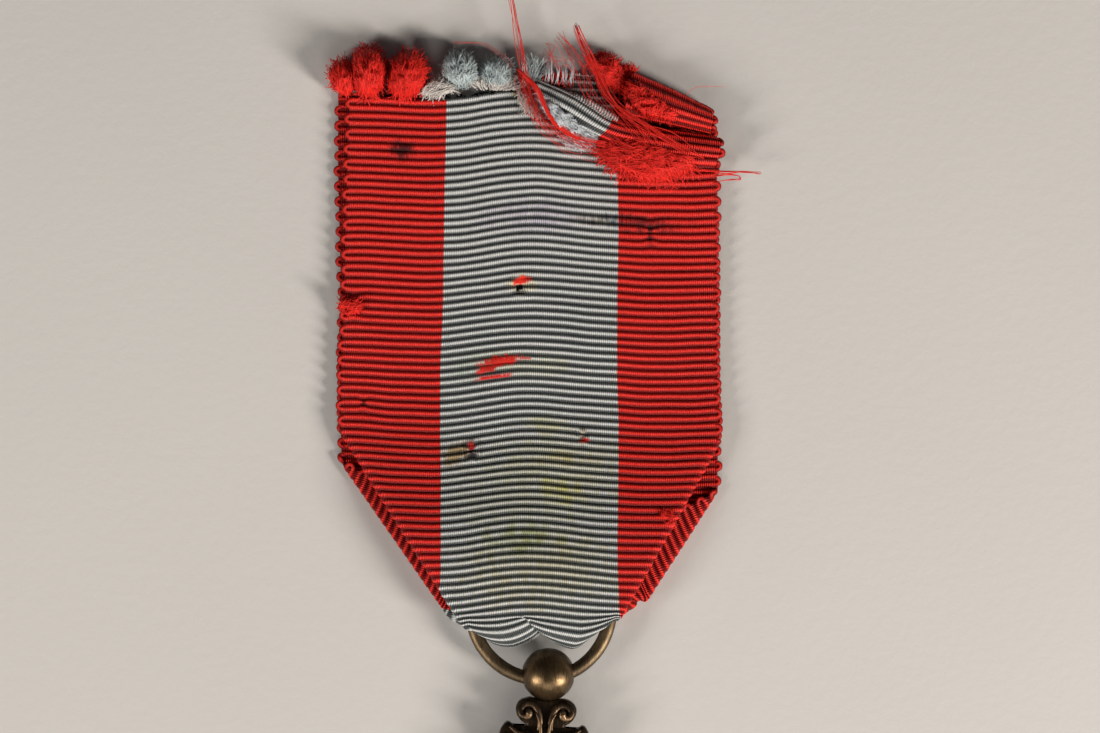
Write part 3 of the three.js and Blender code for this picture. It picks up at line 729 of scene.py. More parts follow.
def wisp_paths(points, count, spread, wave, seed):
    """Loose threads that keep near one route and part from each other towards its end."""
    random = np.random.default_rng(seed)
    route = blends(points, WISP_STEPS)[None]
    part = np.linspace(0, 1, WISP_STEPS)[None, :, None]
    aside = random.normal(0, 1, (count, 1, 3)) * np.array([1, 1, 0.35]) * spread
    bend = random.normal(0, 1, (count, 1, 3)) * np.array([1, 1, 0.2]) * wave
    paths = route + aside * (0.55 + 0.6 * part) + bend * np.sin(part * random.uniform(4, 11, (count, 1, 1)))
    paths[..., 2] = np.maximum(paths[..., 2], YARN_FLOOR)
    return paths


# ---- metal shapes ----
BALL_AT = np.array([0.7234, -6.3489, 2.6])  # also the origin of the medal's own frame
MEDAL_LEAN = math.radians(-3.5)
MEDAL_TILT = math.radians(1.791)
BALL_TURN = math.radians(6.5)
RING_TILT = math.radians(-3.494)
RING_HEIGHT = 2.185
RING_RADIUS = 6.81
WIRE = 0.665
DISC = -25.6  # the disc's centre, below the ball
FIELD = 0.37  # height of the face round the relief


def turn_x(points, angle):
    c, s = math.cos(angle), math.sin(angle)
    return points @ np.array([[1, 0, 0], [0, c, s], [0, -s, c]])


def turn_z(points, angle):
    c, s = math.cos(angle), math.sin(angle)
    return points @ np.array([[c, s, 0], [-s, c, 0], [0, 0, 1]])


def on_medal(points):
    """The medal's own frame to millimetres from the ring's centre."""
    return turn_z(turn_x(points, MEDAL_TILT), MEDAL_LEAN) + BALL_AT


def skin(grid, ring=False):
    """Faces of a grid of closed loops. The last joins the first if ring, or both ends are capped."""
    rows, columns = grid.shape[:2]
    index = np.arange(rows * columns).reshape(rows, columns)
    following = np.roll(index, -1, axis=1)
    faces = []
    for i in range(rows if ring else rows - 1):
        j = (i + 1) % rows
        faces += np.stack([index[i], following[i], following[j], index[j]], -1).tolist()
    if not ring:
        faces += [index[0, ::-1].tolist(), index[-1].tolist()]
    return faces


def merged(parts):
    """One set of points and faces from several."""
    points, faces, count = [], [], 0
    for part_points, part_faces in parts:
        points.append(part_points.reshape(-1, 3))
        faces += [[i + count for i in face] for face in part_faces]
        count += len(points[-1])
    return np.concatenate(points), faces


def lathe(profile, segments, ring=False):
    """A profile of (radius, height) turned about Z."""
    radii, levels = np.array(profile, float).T
    turn = 2 * np.pi * np.arange(segments) / segments
    grid = np.stack([radii[:, None] * np.cos(turn), radii[:, None] * np.sin(turn),
                     np.broadcast_to(levels[:, None], (len(radii), segments))], -1)
    return grid, skin(grid, ring)


def ridge(route, radius, steps=22, sides=8, ends=(0.25, 0.25), flat=1.0):
    """A rounded bar along a route. ends are its end radii as shares, and flat squeezes it in Z."""
    path = blends(route, steps)
    first, last = ends
    shares = [first, 0.5 + first / 2, 1, 0.5 + last / 2, last]
    radii = radius * np.interp(np.linspace(0, 1, steps), [0, 0.12, 0.5, 0.88, 1], shares)
    points, quads = tubes(path[None], radii[None], sides)
    points = points.reshape(steps, sides, 3)
    points[..., 2] = path[:, None, 2] + (points[..., 2] - path[:, None, 2]) * flat
    return points, quads.tolist()


def knob(centre, radius, flat=1.0):
    """A small bead, a little flattened where it meets its ground."""
    angles = np.linspace(0.12, np.pi - 0.12, 9)
    grid, faces = lathe(np.stack([np.sin(angles), -np.cos(angles) * flat], -1) * radius, 14)
    return grid + np.array(centre), faces


def slab_of(outline, low, high, bevel, smooth_steps=0):
    """A plate with rolled edges from an anticlockwise outline."""
    rim = np.array(outline, float)
    if smooth_steps:
        rim = blends(np.concatenate([rim, rim[:1]]), smooth_steps + 1)[:-1]
    along = unit(np.roll(rim, -1, axis=0) - np.roll(rim, 1, axis=0))
    inward = np.stack([-along[:, 1], along[:, 0]], -1)
    rows = []
    for angle in np.linspace(0, np.pi / 2, 5):
        rows.append((bevel * (1 - np.sin(angle)), low + bevel * (1 - np.cos(angle))))
    rows += [(inset, high + low - level) for inset, level in rows[::-1]]
    grid = np.stack([np.column_stack([rim + inward * inset, np.full(len(rim), level)])
                     for inset, level in rows])
    return grid, skin(grid)


def add_metal(name, node, parts, material, worn_range, place, body):
    """A metal piece. worn is 1 on the parts that stand proud, where the patina has rubbed off."""
    points, faces = merged(parts)
    obj = add_mesh(name, to_row(place(points)), faces, material)
    edit = bmesh.new()
    edit.from_mesh(obj.data)
    bmesh.ops.recalc_face_normals(edit, faces=edit.faces)
    edit.to_mesh(obj.data)
    edit.free()
    low, high = worn_range
    set_values(obj, "worn", smoothstep(low, high, points[:, 2]))
    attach(obj, body)
    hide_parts(node)
    return obj


RING_STEPS = 144
WIRE_SIDES = 24
SEAM = 1.9  # where the wire's ends meet, in radians round the ring


def ring_parts():
    """A wire bent round, with its ends closed by a soldered seam."""
    around = 2 * np.pi * np.arange(RING_STEPS) / RING_STEPS
    seam = np.exp(-(((around - SEAM) / 0.02) ** 2)) * 0.09
    swell = np.exp(-(((around - SEAM) / 0.09) ** 2)) * 0.04
    uneven = 0.012 * ripple(around * 6, np.zeros(RING_STEPS), 71)
    thick = WIRE - seam + swell + uneven
    turn = 2 * np.pi * np.arange(WIRE_SIDES) / WIRE_SIDES
    radial = RING_RADIUS + thick[:, None] * np.cos(turn)
    grid = np.stack([radial * np.cos(around)[:, None], radial * np.sin(around)[:, None],
                     thick[:, None] * np.sin(turn)], -1)
    return [(grid, skin(grid, ring=True))]


def on_ring(points):
    return turn_x(points, RING_TILT) + np.array([0, 0, RING_HEIGHT])


BALL = 2.6
BORE_END = 0.86
BORE_MIDDLE = 1.24
LIP = 0.02  # how far the ball's outline stops short of its bore, in radians


def ball_parts():
    """The bead, turned about its bore, which is wider in the middle so that it swings on the curved wire."""
    first = math.asin(BORE_END / BALL)
    outer = [(BALL * math.sin(a), BALL * math.cos(a))
             for a in np.linspace(first + LIP, np.pi - first - LIP, 47)]
    end = BALL * math.cos(first) - 0.03
    inner = [(BORE_END + (BORE_MIDDLE - BORE_END) * math.cos(math.pi * x / (2 * end)), x)
             for x in np.linspace(-end, end, 17)]
    grid, faces = lathe(outer + inner, 96, ring=True)
    around = np.arctan2(grid[..., 1], grid[..., 0])
    dents = 1 + 0.004 * ripple(around * 2, grid[..., 2] / 0.9, 72)
    dents = dents + 0.002 * ripple(around * 6, grid[..., 2] / 0.3, 73)
    grid[..., :2] *= dents[..., None]
    grid = turn_z(grid[..., [2, 0, 1]], BALL_TURN - MEDAL_LEAN)
    return [(grid, faces)]


def peg_parts():
    """The pin between the bead and the bracket, with a collar under the bead."""
    profile = [(0.01, -4.4), (0.5, -4.4), (0.58, -4.3), (0.58, -3.0), (0.74, -2.9), (0.8, -2.74),
               (0.74, -2.6), (0.58, -2.5), (0.58, -1.55), (0.5, -1.47), (0.01, -1.47)]
    grid, faces = lathe(profile, 28)
    return [(grid[..., [0, 2, 1]], faces)]


BRACKET_SIDE = [(1.7, -2.3), (2.55, -2.62), (2.98, -3.3), (2.85, -4.05), (2.4, -4.62), (1.92, -4.95),
                (2.1, -5.25), (2.6, -5.33), (3.1, -5.18), (3.66, -4.82), (4.1, -5.16), (4.45, -6.0),
                (4.3, -7.0), (3.7, -7.9), (3.9, -8.8), (5.1, -9.5), (6.3, -9.75)]
SCROLL = [(0.62, -5.5, 0.95), (0.52, -4.6, 1.05), (0.75, -3.6, 1.0), (1.35, -2.95, 0.9),
          (2.05, -2.95, 0.85), (2.5, -3.45, 0.85), (2.3, -4.05, 0.95), (1.75, -4.1, 1.1), (1.6, -3.7, 1.2)]
LYRE = [(0.98, -3.7, 1.15), (0.62, -4.4, 1.28), (0.45, -5.1, 1.3), (0.42, -6.0, 1.28), (0.62, -7.1, 1.2),
        (1.25, -8.2, 1.1), (2.3, -9.0, 0.95)]
LEAF_RIBS = [
    [(0.75, -6.3, 1.05), (1.7, -6.05, 1.15), (2.7, -5.75, 1.1), (3.5, -5.15, 1.0)],
    [(0.85, -6.8, 1.0), (2.0, -6.75, 1.12), (3.1, -6.5, 1.08), (4.0, -5.95, 0.95)],
    [(0.95, -7.4, 1.0), (2.0, -7.5, 1.1), (3.0, -7.35, 1.05), (3.8, -6.95, 0.95)],
]
FOOT_RIBS = [
    [(0.3, -8.3, 1.0), (0.35, -9.0, 1.12), (0.3, -9.7, 1.0)],
    [(0.75, -8.5, 1.0), (1.2, -9.15, 1.12), (1.5, -9.75, 1.0)],
    [(1.4, -8.6, 1.0), (2.3, -9.15, 1.1), (3.2, -9.6, 0.95)],
    [(2.2, -8.4, 0.95), (3.2, -8.95, 1.05), (4.9, -9.6, 0.9)],
]


def bracket_parts():
    """Two scrolls over two leaves, cast alike on both faces."""
    left = [(-x, y) for x, y in BRACKET_SIDE]
    base = [(3.6, -10.35), (0.0, -9.98), (-3.6, -10.35)]
    outline = left + [base[2], base[1], base[0]] + BRACKET_SIDE[::-1] + [(0.6, -2.42), (-0.6, -2.42)]
    rim = np.array(outline)
    area = np.sum(rim[:, 0] * np.roll(rim[:, 1], -1) - np.roll(rim[:, 0], -1) * rim[:, 1])
    outline = rim if area > 0 else rim[::-1]
    parts = [slab_of(outline, -0.85, 0.85, 0.28, smooth_steps=230)]
    for side in (-1, 1):
        for face in (-1, 1):
            flip = np.array([side, 1, face])
            parts.append(ridge(np.array(SCROLL) * flip, 0.40, 44, 10, ends=(0.5, 0.9), flat=0.75))
            parts.append(knob(np.array([1.66, -3.72, 1.12]) * flip, 0.36, 0.6))
            parts.append(ridge(np.array(LYRE) * flip, 0.19, 36, 8, ends=(0.5, 0.5)))
            for route in LEAF_RIBS:
                parts.append(ridge(np.array(route) * flip, 0.26, 18, 8, ends=(0.4, 0.7), flat=0.7))
            for route in FOOT_RIBS:
                parts.append(ridge(np.array(route) * flip, 0.24, 14, 8, ends=(0.8, 0.5), flat=0.7))
    for face in (-1, 1):
        parts.append(knob((0, -7.75, 0.95 * face), 0.6, 0.6))
    return parts


def key_parts():
    """The tongue that joins the bracket to the frame, inside both."""
    outline = [(-1.1, -10.7), (1.1, -10.7), (1.1, -8.5), (-1.1, -8.5)]
    return [slab_of(outline, -0.45, 0.45, 0.08)]


def on_disc(*parts):
    """Parts made round the disc's centre, moved to it."""
    return [(points + np.array([0, DISC, 0]), faces) for points, faces in parts]


BEAD_COUNT = 84
BEAD_ROW = 14.36  # radius of the row of beads


def frame_parts():
    """The round frame: a rolled rim, a hollow, and a row of beads in it."""
    face = [(16.0, 0.0), (15.97, 0.55), (15.75, 0.98), (15.4, 1.22), (15.05, 1.28), (14.78, 1.18),
            (14.62, 0.98), (14.35, 0.9), (14.1, 0.98), (13.9, 1.12), (13.6, 1.14), (13.38, 0.98),
            (13.3, 0.7), (13.3, 0.3), (13.3, -0.1), (13.34, -0.55), (14.2, -0.57)]
    back = [(14.2, -1.0), (14.4, -1.15), (14.8, -1.05), (15.1, -1.2), (15.5, -1.2), (15.82, -0.9),
            (15.97, -0.5)]
    parts = [lathe(face + back, 192, ring=True)]
    for i in range(BEAD_COUNT):
        angle = 2 * math.pi * i / BEAD_COUNT
        parts.append(knob((BEAD_ROW * math.cos(angle), BEAD_ROW * math.sin(angle), 0.95), 0.34, 0.8))
    return on_disc(*parts)


def planchet_parts():
    """The disc: a slightly dished field with two fine rings turned in it, front and back."""
    front = [(0.62, 0.30), (1.2, 0.30), (4.0, 0.27), (8.6, 0.25), (8.9, 0.28), (9.05, 0.34), (9.2, 0.28),
             (9.3, 0.25), (12.2, 0.25), (12.4, 0.3), (12.55, 0.36), (12.7, 0.3), (12.8, 0.25),
             (13.27, 0.25)]
    side = [(13.27, -0.5), (13.36, -0.62), (14.05, -0.66)]
    back = [(14.05, -0.76), (12.6, -0.78), (12.4, -0.7), (12.2, -0.64), (4.4, -0.62), (4.2, -0.68),
            (4.0, -0.62), (0.62, -0.62)]
    grid, faces = lathe(front + side + back, 160, ring=True)
    angle = np.arctan2(grid[..., 1], grid[..., 0])
    radius = np.hypot(grid[..., 0], grid[..., 1])
    grid[..., 2] += 0.012 * ripple(radius * 1.3, angle * 9, 74)
    return on_disc((grid, faces))


def retaining_parts():
    """The sprung ring that holds the disc in the frame, open at the foot."""
    turn = np.linspace(math.radians(-84), math.radians(264), 150)
    radius = 13.35
    path = np.stack([radius * np.cos(turn), radius * np.sin(turn), np.full(len(turn), -1.01)], -1)
    section = np.array([(-0.6, -0.1), (-0.5, -0.21), (0.5, -0.21), (0.6, -0.1), (0.6, 0.12), (0.5, 0.2),
                        (-0.5, 0.2),
                        (-0.6, 0.12)])
    out = np.stack([np.cos(turn), np.sin(turn), np.zeros(len(turn))], -1)
    grid = path[:, None] + out[:, None] * section[None, :, :1] + np.array([0, 0, 1.0]) * section[None, :, 1:]
    return on_disc((grid, skin(grid)))


def leaf_part(root, angle, length, width, base, rise):
    """A pointed leaf with a rib along its middle, curled up a little at its tip."""
    part = np.linspace(0.02, 1, 10)
    across = np.array([-1, -0.72, -0.36, -0.1, 0, 0.1, 0.36, 0.72, 1.0])
    half = width / 2 * np.sin(np.pi * part**0.8) ** 0.8 + 0.02
    body = rise * (1 - across**2) ** 0.5 * (0.35 + 0.65 * np.sin(np.pi * part[:, None] ** 0.7))
    rib = 0.07 * np.exp(-((across / 0.12) ** 2)) - 0.05 * np.exp(-(((np.abs(across) - 0.3) / 0.14) ** 2))
    top = base + body + rib + 0.05 * part[:, None] ** 2
    under = np.full((len(part), len(across)), base - 0.12)
    along = np.repeat(part[:, None] * length, len(across), axis=1)
    sideways = half[:, None] * across
    along, aside, level = (np.concatenate([over, below[:, ::-1]], 1)
                           for over, below in ((along, along), (sideways, sideways), (top, under)))
    grid = turn_z(np.stack([along, aside, level], -1), angle)
    grid = grid + np.array([root[0], root[1], 0])
    return grid, skin(grid)


WREATH = 10.7
LEAF_GROUPS = 9
# The leaves of a group: (turn from the stem, length, width).
LEAVES = [(0.66, 2.75, 1.05), (-0.66, 2.75, 1.05), (0.0, 2.9, 0.95)]


def branch_parts(side):
    """Half of the wreath: leaves in threes on a stem, with a berry on each side between them."""
    stem = [(side * WREATH * math.sin(a), -WREATH * math.cos(a), FIELD + 0.12)
            for a in np.linspace(math.radians(12), math.radians(160), 12)]
    parts = [ridge(stem, 0.2, 60, 8)]
    for i in range(LEAF_GROUPS):
        around = math.radians(18 + 15.0 * i)
        root = (side * WREATH * math.sin(around), -WREATH * math.cos(around))
        heading = math.atan2(math.sin(around), side * math.cos(around))
        size = 1.0 - 0.03 * i
        for spread, long, wide in LEAVES:
            parts.append(leaf_part(root, heading + spread, long * size, wide * size, FIELD + 0.05, 0.36))
        berry = around + math.radians(5.5)
        for radius in (WREATH + 1.25, WREATH - 1.25):
            centre = (side * radius * math.sin(berry), -radius * math.cos(berry), FIELD + 0.12)
            parts.append(knob(centre, 0.24, 0.9))
    return on_disc(*parts)


# From the knot and the field's height.
BOW_LOOP = [(0.2, 0, 0.25), (0.9, 0.62, 0.4), (1.65, 0.55, 0.35), (1.75, -0.05, 0.3), (1.1, -0.3, 0.3),
            (0.2, 0, 0.25)]
BOW_TAIL = [(0.2, -0.1, 0.2), (0.7, -0.75, 0.25), (1.45, -1.15, 0.15)]


def knot_parts():
    """The bow at the foot of the wreath: two loops, two tails and the knot over them."""
    parts = [knob((0, -WREATH, FIELD + 0.25), 0.62, 0.8)]
    for side in (-1, 1):
        loop, tail = ([(x * side, y - WREATH, z + FIELD) for x, y, z in route]
                      for route in (BOW_LOOP, BOW_TAIL))
        parts.append(ridge(loop, 0.3, 34, 8, ends=(0.6, 0.6), flat=0.8))
        parts.append(ridge(tail, 0.3, 16, 8, ends=(0.7, 1.0), flat=0.6))
    return on_disc(*parts)


BLADE = [(-5.2, 0.46), (0.0, 0.44), (6.9, 0.40), (7.6, 0.26), (8.15, 0.03)]  # (place along it, half width)
GUARD = [(-1.35, -5.28, 0.12), (-0.7, -5.5, 0.16), (0, -5.45, 0.18), (0.7, -5.5, 0.16), (1.35, -5.28, 0.12)]
GRIP_STEPS = 26


def sword_parts(angle, level):
    """One sword along Y, its point up: blade with a hollow down it, guard, wound grip and pommel."""
    rows = []
    for y, w in BLADE:
        rise = 0.26 * min(1.0, w / 0.3)
        rows.append([(-w, y, 0.03), (-0.45 * w, y, rise), (0, y, rise * 0.55), (0.45 * w, y, rise),
                     (w, y, 0.03), (w, y, -0.06), (-w, y, -0.06)])
    blade = np.array(rows)
    parts = [(blade, skin(blade)), ridge(GUARD, 0.24, 20, 8, ends=(0.9, 0.9), flat=0.8)]
    turns = np.linspace(-5.7, -6.95, GRIP_STEPS)
    radii = 0.25 + 0.05 * np.abs(np.sin(np.arange(GRIP_STEPS) * np.pi / 4))
    grip, faces = lathe(np.stack([radii, turns], -1), 12)
    parts.append((grip[..., [0, 2, 1]] * np.array([1, 1, 0.8]) + np.array([0, 0, 0.12]), faces))
    parts.append(knob((0, -7.1, 0.12), 0.36, 0.8))
    for x in (-1.35, 1.35):
        parts.append(knob((x, -5.28, 0.12), 0.26, 0.9))
    return on_disc(*[(turn_z(points, angle) + np.array([0, 0, level]), faces) for points, faces in parts])


STAR_TIP = 4.85  # radius of the points
STAR_WAIST = 2.0  # and of the corners between them
STAR_LOW = 0.82
STAR_TOP = 1.88  # just over the star's middle


def star_parts():
    """A five-pointed star in ten facets, with a rolled foot."""
    corners = [(math.pi / 2 + math.pi * i / 5, STAR_WAIST if i % 2 else STAR_TIP) for i in range(10)]
    levels = [(0.985, STAR_LOW), (1.0, STAR_LOW + 0.06), (0.99, STAR_LOW + 0.2), (0.93, STAR_LOW + 0.27),
              (0.5, STAR_LOW + 0.66), (0.04, STAR_TOP - 0.01)]
    grid = np.array([[(r * scale * math.cos(a), r * scale * math.sin(a), level) for a, r in corners]
                     for scale, level in levels])
    return on_disc((grid, skin(grid)))


def rivet_parts():
    """The rivet through the disc, with its spun head on the reverse."""
    profile = [(0.01, 0.85), (0.5, 0.85), (0.58, 0.78), (0.58, -0.6), (1.25, -0.68), (1.3, -0.82),
               (1.1, -1.05), (0.7, -1.18), (0.35, -1.2), (0.2, -1.12), (0.01, -1.1)]
    return on_disc(lathe(profile, 32))


# ---- materials ----
class Nodes:
    """A material being made, with short ways to add and link its nodes."""

    def __init__(self, name):
        self.material = bpy.data.materials.new(name)
        self.material.use_nodes = True
        self.tree = self.material.node_tree
        self.shader = self.tree.nodes["Principled BSDF"]

    def add(self, kind, *values):
        """A node with its first inputs set or linked."""
        node = self.tree.nodes.new("ShaderNode" + kind)
        for socket, value in zip(node.inputs, values):
            self.feed(socket, value)
        return node

    def feed(self, socket, value):
        """A number, a colour or another node's output into a socket."""
        if isinstance(value, (int, float)):
            socket.default_value = value
        elif isinstance(value, tuple):
            socket.default_value = (*value, 1.0)
        else:
            self.tree.links.new(value, socket)

    def surface(self, **values):
        """The shader's own sockets, named with _ for a space."""
        for name, value in values.items():
            self.feed(self.shader.inputs[name.replace("_", " ")], value)

    def place(self):
        return self.add("TexCoord").outputs["Object"]

    def stored(self, name, output="Fac"):
        """Values that the mesh holds, by name."""
        node = self.add("Attribute")
        node.attribute_name = name
        return node.outputs[output]

    def math(self, operation, *values):
        node = self.add("Math", *values)
        node.operation = operation
        return node.outputs[0]

    def scaled(self, value, factor, plus):
        return self.math("MULTIPLY_ADD", value, factor, plus)

    def mix(self, share, first, second, blend="MIX"):
        node = self.add("Mix")
        node.data_type = "RGBA"
        node.blend_type = blend
        for socket, value in ((node.inputs[0], share), (node.inputs[6], first), (node.inputs[7], second)):
            self.feed(socket, value)
        return node.outputs[2]

    def smooth(self, value, low, high):
        """From 0 to 1 between two values."""
        node = self.add("MapRange", value, low, high)
        node.interpolation_type = "SMOOTHSTEP"
        return node.outputs[0]

    def noise(self, vector, scale, detail=3.0, roughness=0.6):
        node = self.add("TexNoise", vector)
        for name, value in (("Scale", scale), ("Detail", detail), ("Roughness", roughness)):
            node.inputs[name].default_value = value
        return node.outputs["Fac"]

    def bump(self, height, distance, strength):
        node = self.add("Bump")
        for name, value in (("Height", height), ("Distance", distance * MM), ("Strength", strength)):
            self.feed(node.inputs[name], value)
        self.surface(Normal=node.outputs[0])


WARP = 0.186  # from one warp thread to the next
# The silk's red and grey: crest colours carry a painted sheen, and groove colours are darkened as painted
# shade.
RED_CREST_SHEEN = (1.0, 0.040, 0.027)
RED_GROOVE_SHADE = (0.15, 0.0012, 0.0010)
GREY_CREST_SHEEN = (0.73, 0.735, 0.72)
GREY_GROOVE_SHADE = (0.042, 0.050, 0.050)
BARE_LOW = (0.35, 0.006, 0.004)
BARE_HIGH = (0.95, 0.035, 0.02)
STRIPE_EDGE = 0.03


def silk_material():
    """Ribbed silk: a painted sheen on the warp over each rib's crest, and painted shade deep in the grooves.
    """
    net = Nodes("ribbed_silk")
    across, along = net.stored("across"), net.stored("along")
    place = net.add("CombineXYZ", across, along).outputs[0]
    thread = net.scaled(net.noise(place, 0.35, 2.0), 0.5, across)
    beads = net.math("SINE", net.math("MULTIPLY", thread, 2 * math.pi / WARP))
    # Painted sheen: a band a little off each rib's crest, narrower further along the cloth, over painted
    # shade in the grooves.
    crest = net.math("ABSOLUTE", net.math("SINE", net.scaled(along, math.pi / RIB, -0.20)))
    specks = net.noise(place, 9.0, 4.0, 0.7)
    sheen_narrowing = net.smooth(along, 12.0, 27.0)
    painted_sheen = net.math("POWER", crest, net.scaled(sheen_narrowing, 2.4, 4.2))
    beaded_sheen = net.scaled(beads, net.scaled(painted_sheen, 0.32, 0.09), painted_sheen)
    speckled_sheen = net.scaled(specks, 0.5, net.math("SUBTRACT", beaded_sheen, 0.25))
    # Each colour runs from its painted groove shade to its painted crest sheen.
    red = net.mix(speckled_sheen, RED_GROOVE_SHADE, RED_CREST_SHEEN)
    grey = net.mix(speckled_sheen, GREY_GROOVE_SHADE, GREY_CREST_SHEEN)
    stripe = net.smooth(net.math("ABSOLUTE", across), STRIPE - STRIPE_EDGE, STRIPE + STRIPE_EDGE)
    bare_red = net.mix(net.noise(place, 5.0, 4.0, 0.8), BARE_LOW, BARE_HIGH)
    worn = net.mix(net.stored("bare"), net.mix(stripe, grey, red), bare_red)
    colour = net.mix(1.0, worn, net.stored("tint", "Color"), "MULTIPLY")
    net.surface(Base_Color=colour, Roughness=0.5, Specular_IOR_Level=0.16)
    net.bump(net.scaled(specks, 0.8, beads), 0.05, 0.8)
    return net.material


def yarn_material(name, dark, light):
    net = Nodes(name)
    specks = net.noise(net.place(), 6000.0)
    mixed = net.scaled(specks, 0.8, net.math("MULTIPLY", net.stored("shade"), 0.45))
    net.surface(Base_Color=net.mix(mixed, dark, light), Roughness=0.55, Specular_IOR_Level=0.15)
    net.bump(specks, 0.02, 0.4)
    return net.material


def bronze_material(name, patina, bare, shine, rub, brush=0.7):
    """Old bronze: dark brown in the hollows, rubbed and finely scratched where it stands proud."""
    net = Nodes(name)
    place = net.place()
    brushed = net.add("Mapping", place)
    brushed.inputs["Scale"].default_value = (1.0, 0.07, 0.25)
    scratches = net.noise(brushed.outputs[0], 9000.0, 3.0, 0.65)
    blotches = net.noise(place, 620.0, 4.0, 0.65)
    grit = net.noise(place, 5200.0, 2.0)
    worn = net.scaled(net.stored("worn"), 0.55, rub)
    worn = net.math("ADD", worn, net.scaled(blotches, 0.9, -0.45))
    worn = net.math("ADD", worn, net.scaled(scratches, 0.8, -0.4))
    colour = net.mix(net.smooth(worn, 0.0, 1.0), patina, bare)
    net.surface(Base_Color=colour, Metallic=0.92, Roughness=net.scaled(grit, 0.22, shine))
    net.bump(net.scaled(grit, 0.4, scratches), 0.02, brush)
    return net.material


def board_material():
    net = Nodes("pale_board")
    place = net.place()
    colour = net.mix(net.noise(place, 25.0, 2.0), (0.57, 0.55, 0.525), (0.605, 0.585, 0.56))
    net.surface(Base_Color=colour, Roughness=0.85, Specular_IOR_Level=0.08)
    net.bump(net.noise(place, 900.0), 0.12, 0.25)
    return net.material


BOARD_HALF = 1.2  # in metres
BOARD_Z = -0.00005  # just under the part, in metres


def make_board():
    corners = [(-1, -1), (1, -1), (1, 1), (-1, 1)]
    points = [(x * BOARD_HALF, y * BOARD_HALF, BOARD_Z) for x, y in corners]
    board = add_mesh("board", points, [(0, 1, 2, 3)], board_material(), smooth=False)


# ---- the frayed ends ----
STRAND = 0.045  # radius of a strand of full thickness
TUFT_OUTER = [(-20.5, 51.3), (-20.9, 52.6), (-20.3, 53.6), (-19.2, 54.1), (-18.3, 53.2), (-18.2, 51.6),
              (-19.1, 50.6)]
TUFT_LEFT = [(-18.4, 51.2), (-18.7, 53.0), (-18.0, 54.7), (-16.9, 55.2), (-15.8, 54.6), (-15.1, 53.2),
             (-15.4, 51.7), (-16.2, 50.7), (-17.5, 50.6)]
TUFT_RIGHT = [(-15.1, 51.3), (-14.9, 53.0), (-14.0, 54.5), (-12.8, 54.7), (-11.7, 53.9), (-11.2, 52.7),
              (-11.5, 51.4), (-12.6, 50.6), (-14.1, 50.5)]
TUFT_GREY = [(-9.8, 52.6), (-9.6, 54.1), (-8.4, 54.9), (-7.0, 54.5), (-6.1, 53.2), (-6.3, 52.0),
             (-7.6, 51.6), (-9.0, 51.9)]
TUFT_LOOPS = [(-6.2, 52.3), (-5.8, 53.7), (-4.6, 54.3), (-3.4, 53.9), (-2.6, 53.0), (-2.9, 51.9),
              (-4.4, 51.6)]
RED_MASS = [(6.0, 46.6), (7.4, 47.6), (8.6, 46.9), (10.6, 45.9), (13.5, 44.9), (15.7, 44.3),
            (15.0, 43.3), (12.9, 42.4), (11.0, 42.0), (8.3, 42.9), (6.9, 43.4), (6.1, 44.8)]
FLAP_FUZZ = [(8.3, 51.9), (9.3, 52.1), (10.2, 51.2), (11.2, 50.3), (12.6, 49.6), (13.8, 48.4),
             (13.4, 47.9), (11.6, 48.1), (9.9, 48.5), (8.6, 49.3), (8.1, 50.6)]
TOP_FUZZ = [(4.4, 54.3), (5.6, 54.0), (6.6, 54.5), (7.6, 53.6), (8.3, 52.5), (8.1, 51.2), (7.0, 51.3),
            (5.8, 52.4)]
WHITE_SPRAY = [(-12.0, 50.8), (-10.9, 52.1), (-9.2, 52.0), (-8.5, 51.2), (-9.3, 50.7), (-10.9, 50.5)]
STRIP_FUZZ = [(-0.6, 51.2), (0.8, 50.2), (2.2, 48.9), (3.8, 47.6), (5.9, 46.7), (5.6, 46.0), (3.9, 46.1),
              (2.2, 46.9), (0.9, 48.2), (-0.1, 49.6)]
EDGE_FUZZ = [(-2.5, 51.1), (-1.2, 50.9), (-0.3, 49.8), (0.5, 48.6), (-0.3, 48.2), (-1.3, 48.9), (-2.3, 49.9)]
LOW_FUZZ = [(1.6, 46.7), (3.2, 46.8), (5.6, 46.1), (5.7, 45.4), (3.6, 45.3), (2.2, 45.7)]
EDGE_KNOT = [(-19.9, 30.3), (-18.8, 30.7), (-17.6, 30.3), (-17.5, 29.5), (-18.5, 29.0), (-19.8, 29.3)]
TUCK_FUZZ = [(11.6, 9.9), (13.2, 9.6), (13.1, 8.2), (11.7, 8.4)]

# (material, dark, light)
YARNS = {"red": ("red_yarn", (0.30, 0.004, 0.003), (0.98, 0.040, 0.027)),
         "grey": ("grey_yarn", (0.13, 0.16, 0.165), (0.60, 0.68, 0.68)),
         "pale": ("pale_yarn", (0.30, 0.24, 0.22), (0.80, 0.77, 0.72)),
         "silver": ("silver_yarn", (0.32, 0.35, 0.37), (0.86, 0.89, 0.92))}
# (piece, rails, ribs, where it lies across the cloth)
PATCHES = [("flap_back", FLAP_BACK, 7, (10.0, 18.5)), ("flap_front", FLAP_FRONT, 4, (2.17, 18.5)),
           ("flap_low", FLAP_LOW, 2, (9.0, 18.5)), ("strip_strand", STRIP_STRAND, 1, (3.5, 8.0))]
# (piece, outline, low, high, yarn)
MOUNDS = [("tuft_outer", TUFT_OUTER, 1.0, 2.6, "red"), ("tuft_left", TUFT_LEFT, 1.1, 3.5, "red"),
          ("tuft_right", TUFT_RIGHT, 1.1, 3.4, "red"), ("tuft_grey", TUFT_GREY, 1.0, 2.7, "grey"),
          ("red_mass", RED_MASS, 1.8, 3.5, "red"), ("flap_fuzz", FLAP_FUZZ, 1.7, 3.1, "red"),
          ("top_fuzz", TOP_FUZZ, 1.0, 1.6, "red"), ("spray_body", WHITE_SPRAY, 1.0, 1.6, "pale"),
          ("strip_fuzz", STRIP_FUZZ, 1.7, 3.0, "silver")]
